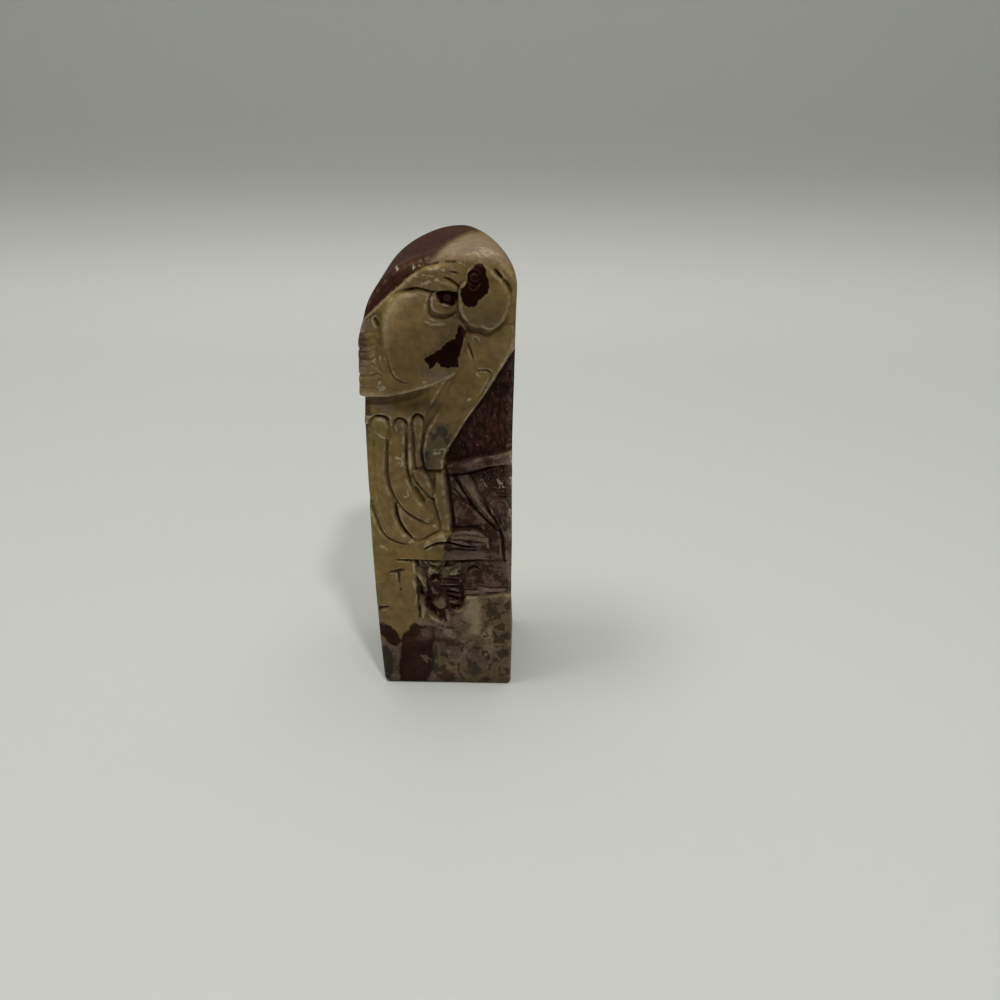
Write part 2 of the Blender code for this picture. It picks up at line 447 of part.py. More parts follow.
def carve_cape(face):
    """Neck feathers in short rows at the outer edge of the cape, over its thick rounded lip."""
    face.cut(CAPE_LIP + (0.0, 1.4), 1.8, -0.4)
    for row, start, reach in ((116.4, -20.6, 2.6), (118.6, -19.6, 2.4), (120.8, -20.2, 3.4),
                              (122.8, -19.0, 2.6), (124.6, -20.4, 3.2), (126.4, -21.4, 3.8)):
        face.cut([(start - 3.4, row - 0.2), (start, row - 0.3), (start + 0.5 * reach, row + 0.5),
                  (start + reach, row - 0.6)], 0.7, 0.35)
    for lean in (0.0, 1.1, 2.2):
        face.cut([(-21.8 + lean, 128.4 + 0.5 * lean), (-20.6 + lean, 130.2 + 0.6 * lean),
                  (-18.6 + lean, 131.6 + 0.7 * lean)], 0.7, 0.4)
    for stroke, width, depth in (
            ([(-24.0, 112.9), (-20.0, 113.2), (-18.0, 113.9), (-16.6, 113.0)], 0.7, 0.5),
            ([(-24.0, 109.3), (-21.0, 109.2), (-19.4, 109.3)], 0.7, 0.3),
            ([(-17.0, 112.4), (-18.4, 110.6)], 0.7, 0.4),
            ([(-18.6, 109.9), (-17.2, 108.2)], 0.6, 0.3),
            ([(-17.0, 110.2), (-18.2, 108.6)], 0.6, 0.3),
            ([(-18.2, 126.0), (-17.4, 122.6), (-17.8, 118.0), (-17.0, 114.6)], 1.1, 0.4),
            ([(-16.6, 116.6), (-15.8, 115.0)], 0.8, -0.3),
            ([(-17.9, 131.0), (-17.4, 129.6), (-17.0, 128.0)], 1.0, 1.0)):
        face.cut(stroke, width, depth)


def carve_perch_and_rock(face):
    """A ledge under the claws, stepped rock below it, and the uncut foot of the stone."""
    rock = np.array([(-9.4, 49.4), (0, 49.2), (12, 49.8), (26, 49.8), (26, 36.4), (18, 36.8), (14, 35.8),
                     (7.4, 35.4), (6.0, 33.0), (-8.8, 33.0), (-9.0, 40.0)])
    low_rock = flowing([(-9.0, 36.0), (6.0, 36.0), (6.4, 30.0), (1.5, 26.4), (-4, 27.0), (-8.6, 28.4)],
                       closed=True)
    face.lower(rock, 0.8, 0.9)
    face.lower(low_rock, 0.6, 4.0)
    hollow = np.array([(-5.6, 38.6), (-5.2, 41.4), (-3.6, 43.6), (-1.2, 43.6), (-0.6, 42.2), (4.8, 42.0),
                       (6.2, 39.0), (6.4, 33.4), (4.6, 29.6), (1.6, 30.4), (0.2, 27.8), (-1.4, 25.6),
                       (-4.2, 27.0), (-6.4, 31.0), (-5.8, 35.0)])
    face.lower(hollow, 0.9, 0.8)
    blocks = (
        ([(-9.2, 44.0), (-8.0, 45.0), (-5.8, 41.0), (-5.6, 38.8), (-6.6, 38.4)], 0.9),
        ([(-6.0, 44.4), (-4.6, 46.6), (-1.8, 46.2), (-1.6, 44.2), (-3.4, 44.0), (-5.0, 42.4)], 0.9),
        ([(-4.4, 48.8), (-4.2, 47.4), (-2.2, 46.8), (-0.6, 48.0), (-1.2, 49.0)], 0.7),
        ([(0.2, 46.0), (1.8, 47.8), (4.2, 48.2), (3.4, 46.6), (1.4, 45.2)], 0.7),
        ([(1.6, 44.6), (3.8, 46.4), (5.0, 45.8), (4.2, 43.6), (2.2, 43.4)], 0.6),
        ([(-4.6, 37.8), (-2.8, 38.2), (-1.6, 35.6), (-3.0, 35.0), (-4.4, 35.6)], 0.7),
        ([(-4.2, 33.0), (-1.8, 33.8), (0.2, 33.0), (0.0, 30.4), (-1.8, 29.8), (-3.4, 31.0)], 0.9),
        ([(-0.6, 29.6), (1.4, 29.6), (2.4, 26.4), (1.2, 25.4), (0.4, 26.8)], 0.7),
        ([(-8.2, 34.2), (-6.4, 34.2), (-6.2, 29.0), (-7.4, 26.6), (-8.0, 29.0)], 0.6),
        ([(-1.6, 38.6), (5.6, 38.6), (5.8, 41.6), (-0.8, 41.8)], 0.5),
        ([(0.0, 36.8), (5.8, 36.2), (6.0, 38.0), (-0.6, 38.2)], 0.6),
        ([(0.6, 34.6), (5.6, 33.8), (6.0, 35.6), (0.4, 36.2)], 0.6),
        ([(1.4, 32.4), (5.8, 31.2), (6.2, 33.2), (1.0, 34.0)], 0.5),
        ([(6.8, 36.0), (11.2, 36.0), (11.0, 37.6), (6.8, 37.4)], 0.4),
        ([(12.6, 36.8), (20.8, 37.4), (20.6, 38.8), (12.0, 38.8)], 0.4))
    for block, height in blocks:
        face.swell(np.array(block), height, 0.9)
    for stroke, width, depth in (
            ([(-15.8, 49.4), (-11.0, 49.2), (-5.0, 48.8), (0.0, 49.1)], 0.7, 0.9),
            ([(1.0, 49.0), (6.0, 48.8), (9.6, 49.1), (12.4, 49.9)], 0.9, 0.8),
            ([(0.4, 46.8), (1.4, 48.4), (2.0, 49.0)], 1.2, 0.8),
            ([(1.4, 53.4), (5.0, 53.8), (8.0, 53.3), (11.6, 53.6)], 0.8, 0.8),
            ([(-9.3, 49.0), (-8.4, 47.6), (-9.2, 45.8)], 1.3, 1.0),
            ([(-7.6, 48.4), (-5.8, 46.2), (-6.4, 44.0), (-5.6, 41.6)], 1.5, 1.2),
            ([(-5.6, 48.6), (-4.4, 47.0), (-1.4, 45.4), (-0.6, 44.4)], 1.0, 0.7),
            ([(-9.2, 42.6), (-8.5, 39.8), (-8.0, 37.4), (-7.2, 35.0)], 1.7, 1.6),
            ([(-8.6, 35.6), (-8.8, 32.0), (-8.4, 29.0), (-9.2, 26.4)], 1.0, 1.0),
            ([(-5.9, 33.8), (-5.2, 31.6), (-4.0, 29.6), (-3.2, 27.0)], 1.8, 1.2),
            ([(-4.0, 40.8), (-2.8, 42.6), (-1.8, 40.6)], 1.4, 0.8),
            ([(-1.6, 38.7), (2.0, 38.6), (5.0, 38.9)], 0.8, 0.9),
            ([(0.6, 36.9), (2.8, 36.3), (4.6, 35.8)], 0.8, 0.9),
            ([(0.8, 34.8), (2.6, 34.3), (4.8, 33.4)], 1.0, 1.0),
            ([(2.6, 31.0), (4.2, 30.4), (5.6, 30.6)], 0.9, 0.9),
            ([(-0.6, 30.0), (0.2, 29.6), (1.0, 30.4)], 1.0, 0.6),
            ([(7.8, 44.9), (8.9, 46.4), (10.2, 46.8), (11.6, 46.2)], 1.0, 1.0),
            ([(4.6, 45.4), (5.2, 44.4)], 0.9, 0.9),
            ([(9.0, 43.8), (10.8, 43.6)], 0.7, 0.5),
            ([(16.4, 46.4), (20.4, 46.3)], 0.6, 0.4),
            ([(6.8, 37.9), (9.0, 37.7), (11.2, 37.8)], 0.8, 0.8),
            ([(6.8, 35.8), (9.0, 35.7), (11.6, 35.9)], 0.8, 0.8),
            ([(10.6, 39.6), (13.2, 39.2), (16.0, 38.6), (20.8, 39.0)], 0.8, 0.7),
            ([(13.6, 36.8), (16.0, 36.5), (18.6, 37.0)], 0.8, 0.7),
            ([(-18.0, 44.6), (-15.5, 45.2), (-13.4, 46.1)], 0.8, 0.7),
            ([(-14.8, 45.8), (-14.9, 43.0), (-14.6, 39.4)], 0.7, 0.6),
            ([(-14.6, 38.8), (-14.4, 37.8)], 0.9, 0.4),
            ([(-23.4, 29.9), (-21.0, 30.6), (-18.8, 31.2)], 0.9, 0.9)):
        face.cut(stroke, width, depth)


def carve_front(across, up):
    face = Face(across, up)
    carve_background(face)
    carve_wing(face)
    carve_chest_and_leg(face)
    carve_head(face)
    carve_cape(face)
    carve_crown(face)
    carve_perch_and_rock(face)
    return face


# The other faces, plainer

def carve_cape_round(face, ends, out):
    """The cape carried round a face: it stands out over the wing, with rows of rounded feathers."""
    left, right = ends
    face.depth -= out * ease((face.up - 106.0) / 0.9) * (1.0 - ease((face.up - 123.0) / 8.0))
    feather = 5.0
    for i, row in enumerate((109.4, 113.2, 117.2, 121.2, 125.2)):
        start = left + feather * (0.5 if i % 2 else 0.0)
        for middle in np.arange(start, right + feather, feather):
            tip = [(middle + feather * turn, row + rise)
                   for turn, rise in ((-0.5, 1.2), (-0.25, 0.2), (0.0, 0.0), (0.25, 0.2), (0.5, 1.2))]
            face.cut(tip, 0.9, 0.4)


def carve_long_feathers(face, middles, drift):
    """Long folded feathers hanging from the cape, drawn in towards the tail."""
    for middle in middles:
        face.furrow([(middle, 103.0), (middle * 1.02, 90.0), (middle * 0.96 + 0.4 * drift, 74.0),
                     (middle * 0.7 + drift, 60.0)], 1.1, FEATHER_CUT / MM)


def carve_left(across, up):
    """The left face, read from front (-20) to back (20)."""
    face = Face(across, up)
    carve_cape_round(face, (-26.0, 26.0), CAPE_STANDS_OUT / MM)
    carve_long_feathers(face, (-13.0, -5.0, 3.0, 11.0), 2.0)
    face.cut([(-15.0, 50.2), (-4.0, 49.6), (8.0, 50.4), (24.0, 49.6)], 1.2, 0.7)
    face.cut([(-20.0, 30.4), (-15.0, 31.4), (-9.0, 30.2)], 1.0, 0.5)
    return face


def carve_back(across, up):
    """The back face: cape, folded wings and tail over the same ledge."""
    face = Face(across, up)
    carve_cape_round(face, (-26.0, 18.0), 0.5 * CAPE_STANDS_OUT / MM)
    wings = flowing([(-25.0, 106.0), (18.0, 106.0), (19.0, 90.0), (15.0, 72.0), (6.0, 58.0), (-8.0, 58.0),
                     (-18.0, 66.0), (-25.0, 76.0)], closed=True)
    face.lower(wings, 0.8, 1.4)
    face.swell(wings, 0.6, 6.0)
    carve_long_feathers(face, (-16.0, -9.5, -3.0, 3.5, 10.0), 0.0)
    face.cut([(-24.0, 50.0), (-10.0, 49.0), (4.0, 50.2), (24.0, 49.4)], 1.2, 1.0)
    for left, right, height in ((-6.0, 4.0, 44.0), (2.0, 12.0, 41.0), (-14.0, -4.0, 38.6),
                                (6.0, 18.0, 36.8)):
        face.cut([(left, height), (0.5 * (left + right), height + 0.6), (right, height - 0.4)], 1.1, 0.8)
    return face


def carve_right(across, up):
    """The right face, read from front (-20) to back (20): branch and rock run out into plain stone."""
    face = Face(across, up)
    face.cut([(-24.0, 89.4), (-12.0, 92.0), (0.0, 97.0)], 1.0, 0.6)
    face.cut([(-24.0, 84.4), (-12.0, 86.6), (-1.0, 90.6)], 1.0, 0.6)
    for left, right, height in ((-24.0, -8.0, 49.6), (-20.0, -4.0, 39.0), (-6.0, 10.0, 44.0),
                                (0.0, 16.0, 36.0)):
        face.cut([(left, height), (0.5 * (left + right), height + 0.8), (right, height)], 1.1, 0.7)
    return face


# Carving the skin of the blank

def carved(places):
    """Each spot of the skin moved in by the depth of the drawing on its own face."""
    x, y, z = (places / MM).T
    scale = np.array([SHEET_WIDTH / (WIDTH / MM), SHEET_DEPTH / (DEPTH / MM), SHEET_HEIGHT / (HEIGHT / MM)])
    across, back, up = x * scale[0], y * scale[1], z * scale[2]
    half_width, half_depth = 0.5 * WIDTH / MM, 0.5 * DEPTH / MM
    side_reach = 8.0
    x = x + carve_left(back, up).depth * ease((-half_width - x) / side_reach + 1.0)
    x = x - carve_right(back, up).depth * ease((x - half_width) / side_reach + 1.0)
    across = x * scale[0]
    front = np.clip(-y / half_depth, 0.0, 1.0)
    behind = np.clip(y / half_depth, 0.0, 1.0)
    y = y + carve_front(across, up).depth * front - carve_back(-across, up).depth * behind
    return np.column_stack([x, y, z]) * MM


def settled(item, modifier_name):
    """The mesh as one modifier leaves it, put in place of the old one."""
    graph = bpy.context.evaluated_depsgraph_get()
    mesh = bpy.data.meshes.new_from_object(item.evaluated_get(graph))
    item.modifiers.remove(item.modifiers[modifier_name])
    item.data = mesh


def corners_of(mesh):
    flat = np.empty(3 * len(mesh.vertices))
    mesh.vertices.foreach_get("co", flat)
    return flat.reshape(-1, 3)


def stone_material():
    material = bpy.data.materials.new("soapstone")
    material.use_nodes = True
    shader = material.node_tree.nodes["Principled BSDF"]
    shader.inputs["Base Color"].default_value = STONE_COLOUR
    shader.inputs["Roughness"].default_value = STONE_ROUGHNESS
    shader.inputs["Metallic"].default_value = 0.0
    return material


def bird_carving():
    mesh = bpy.data.meshes.new("bird_carving")
    blank = lofted_blank()
    blank.to_mesh(mesh)
    blank.free()
    stone = bpy.data.objects.new("bird_carving", mesh)
    bpy.context.scene.collection.objects.link(stone)

    skin = stone.modifiers.new("skin", "REMESH")
    skin.mode = "VOXEL"
    skin.voxel_size = SKIN_STEP
    settled(stone, "skin")

    places = carved(corners_of(stone.data))
    middle = 0.5 * (places.min(axis=0) + places.max(axis=0))
    places -= np.array([middle[0], middle[1], places[:, 2].min()])
    stone.data.vertices.foreach_set("co", places.ravel())
    stone.data.update()

    thinning = stone.modifiers.new("thinning", "DECIMATE")
    stone.data.calc_loop_triangles()
    thinning.ratio = TRIANGLES / len(stone.data.loop_triangles)
    thinning.use_collapse_triangulate = True
    settled(stone, "thinning")

    places = corners_of(stone.data)
    places[places[:, 2] < 0.25 * SKIN_STEP, 2] = 0.0
    stone.data.vertices.foreach_set("co", places.ravel())
    stone.data.update()
    stone.data.shade_smooth()
    stone.data.materials.append(stone_material())
    return stone


for leftover in list(bpy.data.objects):
    bpy.data.objects.remove(leftover)
bird_carving()
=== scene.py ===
# Looks of the soapstone bird carving, built round its imported model.
#
# The real piece is one hand-carved block of soapstone: tan over most of the bird, red-brown in the
# crown, the ground behind the chest and the rock, mottled grey-olive in the foot. It was rubbed with
# wax, its edges are worn pale and dark dust sits in the cuts. The material adds painted shade in the
# cuts, hollows and under overhangs, and painted highlights on edges and lit faces.

import math

import bmesh
import bpy
import numpy as np
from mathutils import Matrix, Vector


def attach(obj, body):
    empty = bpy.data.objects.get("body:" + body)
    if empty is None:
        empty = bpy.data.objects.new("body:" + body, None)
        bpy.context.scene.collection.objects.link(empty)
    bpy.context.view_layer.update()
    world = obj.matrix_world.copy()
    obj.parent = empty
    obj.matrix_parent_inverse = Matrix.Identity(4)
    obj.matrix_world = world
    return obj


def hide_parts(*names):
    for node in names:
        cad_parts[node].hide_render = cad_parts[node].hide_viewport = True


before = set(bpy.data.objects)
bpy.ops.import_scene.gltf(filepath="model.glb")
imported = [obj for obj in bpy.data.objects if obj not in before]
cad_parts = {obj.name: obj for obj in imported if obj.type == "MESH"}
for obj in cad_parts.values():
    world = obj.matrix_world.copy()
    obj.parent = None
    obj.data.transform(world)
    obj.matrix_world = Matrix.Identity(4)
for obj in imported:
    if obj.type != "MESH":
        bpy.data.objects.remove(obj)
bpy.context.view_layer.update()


# The carved stone
#
# One block of soapstone: a lofted blank with a rounded top gets a fine even skin, and each spot of the
# skin is cut back by the depth that the drawing of its face gives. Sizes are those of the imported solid.

HEIGHT = 0.150
WIDTH = 0.0462
DEPTH = 0.0400
EDGE_ROUND = 0.0010
CROWN_ROUND = 0.0050         # rounding of the brow into the top of the stone
CAPE_STANDS_OUT = 0.0013     # cape beyond the wing, on the left and back
UNDER_CAPE = 0.0019          # how far the wing lies behind the lip of the cape
BACKGROUND_DEPTH = 0.0034    # ground above the branch, behind the chest
LEAF_GROUND_DEPTH = 0.0022   # ground behind the leaves and right of the leg
FEATHER_CUT = 0.0012         # height of the long wing feathers over the cuts between them

# The faces are drawn on a sheet this big, in millimetres, and the drawing follows the stone's size
SHEET_WIDTH = 46.2
SHEET_DEPTH = 40.0
SHEET_HEIGHT = 150.0
MM = 0.001
FOOT_CORNERS = (2.0, 1.3)    # rounding of the foot's left and right corners
LEFT_WALL_SWING = 1.5        # how far the bowed left wall falls in towards the foot
RIGHT_WALL_SWING = 0.9       # how far the right wall falls in below the head


# Lines and outlines of the drawing

def ease(value):
    """0 below 0, 1 above 1, and a smooth rise between."""
    value = np.clip(value, 0.0, 1.0)
    return value * value * (3.0 - 2.0 * value)


def flowing(points, steps=5, closed=False):
    """A smooth line through a few points of the drawing."""
    points = np.array(points, float)
    if closed:
        padded = np.vstack([points[-1], points, points[0], points[1]])
    else:
        padded = np.vstack([2 * points[0] - points[1], points, 2 * points[-1] - points[-2]])
    line = []
    for before, start, end, after in zip(padded, padded[1:], padded[2:], padded[3:]):
        for t in np.arange(steps) / steps:
            line.append(0.5 * (2 * start + (end - before) * t + (2 * before - 5 * start + 4 * end - after)
                * t ** 2 + (3 * start - before - 3 * end + after) * t ** 3))
    if not closed:
        line.append(points[-1])
    return np.array(line)


def loop(points):
    """A smooth closed outline through a few points."""
    return flowing(points, closed=True)


def nearest(line, across, up):
    """Distance from each spot to a line, and where along it (0 to 1) the nearest point lies."""
    best = np.full(across.shape, np.inf)
    along = np.zeros(across.shape)
    runs = np.linalg.norm(np.diff(line, axis=0), axis=1)
    travelled = 0.0
    for (x0, z0), (x1, z1), run in zip(line[:-1], line[1:], runs):
        share = ((across - x0) * (x1 - x0) + (up - z0) * (z1 - z0)) / max(run * run, 1e-9)
        share = np.clip(share, 0.0, 1.0)
        gap = np.hypot(across - x0 - share * (x1 - x0), up - z0 - share * (z1 - z0))
        closer = gap < best
        best[closer] = gap[closer]
        along[closer] = travelled + share[closer] * run
        travelled += run
    return best, along / travelled


def inside(outline, across, up):
    """True for each spot inside a closed outline."""
    within = np.zeros(across.shape, bool)
    for (x0, z0), (x1, z1) in zip(outline, np.roll(outline, -1, axis=0)):
        if z0 == z1:
            continue
        crosses = (z0 > up) != (z1 > up)
        within ^= crosses & (across < x0 + (up - z0) * (x1 - x0) / (z1 - z0))
    return within


class Face:
    """One face of the stone: places across and up the sheet, and the depth cut at each, in mm."""

    def __init__(self, across, up):
        self.across = across
        self.up = up
        self.depth = np.zeros(across.shape)
        self.knife = np.zeros(across.shape)

    def around(self, line, reach):
        low = line.min(axis=0) - reach
        high = line.max(axis=0) + reach
        return np.flatnonzero((self.across > low[0]) & (self.across < high[0])
                              & (self.up > low[1]) & (self.up < high[1]))

    def cut(self, points, width, depth, taper=0.15):
        """A cut of the knife: deepest on its line, running out at both ends."""
        line = flowing(points)
        spots = self.around(line, 2.0 * width)
        gap, along = nearest(line, self.across[spots], self.up[spots])
        ends = ease(np.minimum(along, 1.0 - along) / taper + 0.35)
        lean = width * (0.6 + 0.4 * ease(np.minimum(along, 1.0 - along) / 0.3))
        self.depth[spots] += depth * ends * np.exp(-(gap / (0.48 * lean)) ** 2)
        narrow = depth * ends * np.exp(-(gap / (0.30 * lean)) ** 2)
        if width < 1.4:
            self.knife[spots] = np.maximum(self.knife[spots], narrow)

    def furrow(self, points, width, depth):
        """A cut whose two banks are rounded over, as between feathers."""
        self.cut(points, width, 0.65 * depth)
        self.cut(points, 3.2 * width, 0.35 * depth)

    def lower(self, outline, depth, edge, share=None):
        """Ground cut back inside an outline. A negative depth leaves the inside standing. A share
        for each spot makes the ground shallower where it is under 1."""
        spots = self.around(outline, edge)
        across, up = self.across[spots], self.up[spots]
        gap, _ = nearest(np.vstack([outline, outline[:1]]), across, up)
        gap = np.where(inside(outline, across, up), gap, -gap)
        here = 1.0 if share is None else share[spots]
        self.depth[spots] += depth * here * ease(gap / edge + 0.5)

    def swell(self, outline, height, edge):
        """A rounded swelling inside an outline, over a shoulder as wide as the edge."""
        spots = self.around(outline, 0.0)
        spots = spots[inside(outline, self.across[spots], self.up[spots])]
        gap, _ = nearest(np.vstack([outline, outline[:1]]), self.across[spots], self.up[spots])
        rise = np.clip(gap / edge, 0.0, 1.0)
        self.depth[spots] -= height * np.sqrt(1.0 - (1.0 - rise) ** 2)


# Outlines that more than one part of the carving shares, in mm on the front sheet
CHEST_EDGE = flowing([(24, 123), (20, 116.8), (16, 110), (12, 103.8), (8, 98), (4.6, 92), (1.6, 87),
    (0.8, 82)])
LEG_FRONT = flowing([(0.9, 81), (1.2, 74), (2, 66.4), (2.7, 59.8)])
CAPE_LIP = flowing([(-24.5, 106.2), (-20, 106.1), (-15, 106.3), (-10, 107.3), (-5, 108.8), (0, 110.6),
    (3, 112), (5, 113.3)])
LEG_BACK = flowing([(-1.8, 81), (-2.7, 71.4), (-1.6, 65.8), (-0.5, 59.4)])
CHEST_BACK = flowing([(5.4, 113.3), (2.4, 106.4), (-1.2, 100), (-3.8, 95.6), (-5, 91), (-5.7, 87),
    (-4.7, 81.6)])
BEAK_LINE = flowing([(8.4, 142.2), (7, 140.4), (6.2, 137), (6.4, 133.6), (7.6, 130.8), (9.8, 128.6),
    (12.6, 128), (15.4, 127.2), (18, 128.4), (20.2, 131), (21, 134.2)])
CROWN_LINE = flowing([(-25, 127.6), (-21, 130.3), (-17, 134), (-13, 137.8), (-9, 141.4), (-5, 144.5),
    (-1, 146), (5, 146.8), (10, 146.6), (16, 145.4), (24, 140)])


# The block's own rounded top

def quarter_arch(share, fullness):
    """Height of a quarter arch, 1 at its crown and 0 at its wall."""
    share = np.clip(np.abs(share), 0, 1)
    return (1.0 - share ** fullness) ** (1.0 / fullness)


def crown_height(across, backward):
    """Top of the stone over each spot. The crown stands right of the middle and leans to the left
    as it runs back, and its right shoulder is fuller in front, over the beak, than behind."""
    crown = 9.5 - 4.0 * backward
    top = SHEET_HEIGHT - 0.6 * backward
    left_spring = 125.0
    right_spring = 140.0 - 10.0 * backward
    left_share = (crown - across) / (crown + 0.5 * SHEET_WIDTH)
    right_share = (across - crown) / (0.5 * SHEET_WIDTH - crown)
    left = left_spring + (top - left_spring) * quarter_arch(left_share, 2.4 - 0.35 * backward)
    right = right_spring + (top - right_spring) * quarter_arch(right_share, 2.5 - 0.8 * backward)
    return np.where(across < crown, left, right)


def blank_ring(y, inset):
    """The outline of the blank at one depth, in metres, drawn in from the full size by an inset."""
    half = 0.5 * SHEET_WIDTH
    angles = np.linspace(-1, 1, 61)
    across = half * np.sin(angles * 0.5 * np.pi)
    top = crown_height(across, y / DEPTH + 0.5)
    wall_left = np.linspace(FOOT_CORNERS[0], top[0], 30)[:-1]
    wall_right = np.linspace(top[-1], FOOT_CORNERS[1], 30)[1:]
    left = np.column_stack([np.full(wall_left.shape, -half), wall_left])
    over = np.column_stack([across, top])
    right = np.column_stack([np.full(wall_right.shape, half), wall_right])
    turns = np.linspace(0, 0.5 * np.pi, 6)
    right_corner = np.column_stack([half - FOOT_CORNERS[1] * (1.0 - np.cos(turns)),
        FOOT_CORNERS[1] * (1.0 - np.sin(turns))])[1:]
    left_corner = np.column_stack([-half + FOOT_CORNERS[0] * (1.0 - np.cos(turns)),
        FOOT_CORNERS[0] * (1.0 - np.sin(turns))])[:0:-1]
    ring = np.vstack([left, over, right, right_corner, left_corner])
    bow = np.abs((ring[:, 1] - 66) / 66) ** 2.2
    ring[:, 0] += LEFT_WALL_SWING * bow * ease(0.5 - ring[:, 0] / half)
    ring[:, 0] -= RIGHT_WALL_SWING * ease((135.0 - ring[:, 1]) / 50) * ease(0.5 + ring[:, 0] / half)
    ring *= (WIDTH / SHEET_WIDTH, HEIGHT / SHEET_HEIGHT)
    middle = np.array([0, 0.5 * HEIGHT])
    reach = np.array([0.5 * WIDTH, 0.5 * HEIGHT])
    ring = middle + (ring - middle) * (1.0 - inset / reach)
    return [Vector((x, y, z)) for x, z in ring]


def lofted_blank():
    """The uncarved block, lofted from front to back with rounded front and back edges."""
    rounding = [(-0.5 * DEPTH + EDGE_ROUND * (1.0 - np.sin(turn)),
        EDGE_ROUND * (1.0 - np.cos(turn))) for turn in np.linspace(0.5 * np.pi, 0, 5)]
    straight = [(y, 0) for y in np.linspace(rounding[-1][0], -rounding[-1][0], 10)[1:-1]]
    sections = rounding + straight + [(-y, inset) for y, inset in reversed(rounding)]
    mesh = bmesh.new()
    rings = []
    for y, inset in sections:
        rings.append([mesh.verts.new(corner) for corner in blank_ring(y, inset)])
    for ring, following in zip(rings, rings[1:]):
        for i in range(len(ring)):
            j = (i + 1) % len(ring)
            mesh.faces.new((ring[i], ring[j], following[j], following[i]))
    mesh.faces.new(rings[0])
    mesh.faces.new(rings[-1])
    bmesh.ops.recalc_face_normals(mesh, faces=mesh.faces)
    return mesh


# The bird, in front

def carve_background(face):
    """The ground to the right of chest and leg, with a branch and hanging lance leaves left standing."""
    toes_end = flowing([(4, 60), (8, 60.6), (12.2, 59.8), (14.9, 57.6), (15, 55), (17.6, 50.8)])
    ground = np.vstack([CHEST_EDGE, LEG_FRONT, toes_end, [(26, 50.8), (26, 123)]])
    face.lower(ground, LEAF_GROUND_DEPTH / MM, 0.9, ease((face.up - 50) / 6))
    branch_top = flowing([(26, 88.2), (21, 87.6), (17, 86.7), (13, 86.1), (9, 85), (5, 84.4), (1.8, 83.6)])
    above_branch = np.vstack([CHEST_EDGE[:-4], branch_top[::-1], [(26, 123)]])
    face.lower(above_branch, (BACKGROUND_DEPTH - LEAF_GROUND_DEPTH) / MM, 1)
    branch_foot = flowing([(1.8, 79.8), (5, 80.2), (9, 80.6), (13, 81.9), (18, 83.2), (26, 84.4)])
    branch = np.vstack([branch_top, branch_foot])
    face.lower(branch, -0.7, 0.8)
    face.swell(branch, 0.6, 1.6)
    face.cut(branch_top[5:], 0.7, 0.4)
    face.cut([(2.6, 79.9), (5.4, 79.6), (9, 80.4), (13, 81.6), (17.4, 82.7)], 0.9, 0.9)
    face.cut([(9.6, 84.6), (10.4, 82.8), (10.2, 81.4)], 0.8, 0.3)
    long_leaf = loop([(4.6, 79.4), (6.4, 75.4), (8.6, 71.8), (10.6, 68.8), (13, 65.6), (16, 62.6),
        (18.4, 60.2), (16.2, 64.4), (13.8, 68.2), (12.2, 71.6), (11, 75.4), (8.8, 79.6)])
    small_leaf = loop([(2.8, 78.8), (4.2, 78.2), (5.6, 75.6), (7.8, 72.2), (6.2, 71.6), (4.4, 73),
        (2.8, 75.4)])
    low_leaf = loop([(4, 70.2), (8, 69.4), (11.4, 65.8), (14.2, 62.4), (9, 61.6), (4.2, 61.8)])
    right_leaf = loop([(14.6, 69), (17.4, 71.4), (20.8, 70.4), (21.4, 64.8), (21.2, 57.6), (20.4, 55.6),
        (19.2, 59.6), (16.6, 65)])
    for leaf, height in ((long_leaf, 1.3), (small_leaf, 0.9), (low_leaf, 0.7), (right_leaf, 0.7)):
        face.lower(leaf, -0.6 * height, 0.6)
        face.swell(leaf, 0.4 * height, 1.8)
    for stroke, width, depth in (([(4.4, 79.4), (5.8, 76), (8, 72.2), (9.8, 69.2), (12.2, 65.9),
            (14.8, 62.9), (18.4, 59)], 0.9, 0.9), ([(8.6, 79.8), (10.3, 76.2), (11.5, 72.7), (12.8, 69.8),
            (15, 66.4), (18, 61.6)], 0.9, 0.8), ([(3.6, 75.6), (5.4, 72.9), (7, 71)], 0.8, 0.8),
            ([(5.6, 78.4), (6.4, 76)], 0.7, 0.6), ([(9.2, 70.8), (8.8, 68.2)], 0.9, 0.6), ([(12, 62),
            (14.6, 58.6), (16.4, 56.4)], 0.9, -0.5), ([(18.2, 60.4), (19.2, 56.5), (19.7, 51.5),
            (20.1, 48.2)], 1.1, 1.2), ([(17.6, 72), (20.6, 71.8)], 0.8, 0.6), ([(18.2, 64),
            (18.8, 62.2)], 0.9, 0.7), ([(3.6, 66), (3.7, 62.6)], 0.8, 0.5)):
        face.cut(stroke, width, depth)
    for middle, height in ((12.6, 77.2), (14.4, 75.6), (13.4, 73.2), (16, 78.4), (18.4, 77.6),
            (19.2, 74.6), (16.6, 74.4), (21.2, 79), (6.6, 66.2), (20.8, 68), (15.6, 67)):
        face.cut([(middle - 0.9, height - 0.7), (middle, height + 0.1),
            (middle + 0.9, height - 0.2)], 0.7, 0.5)


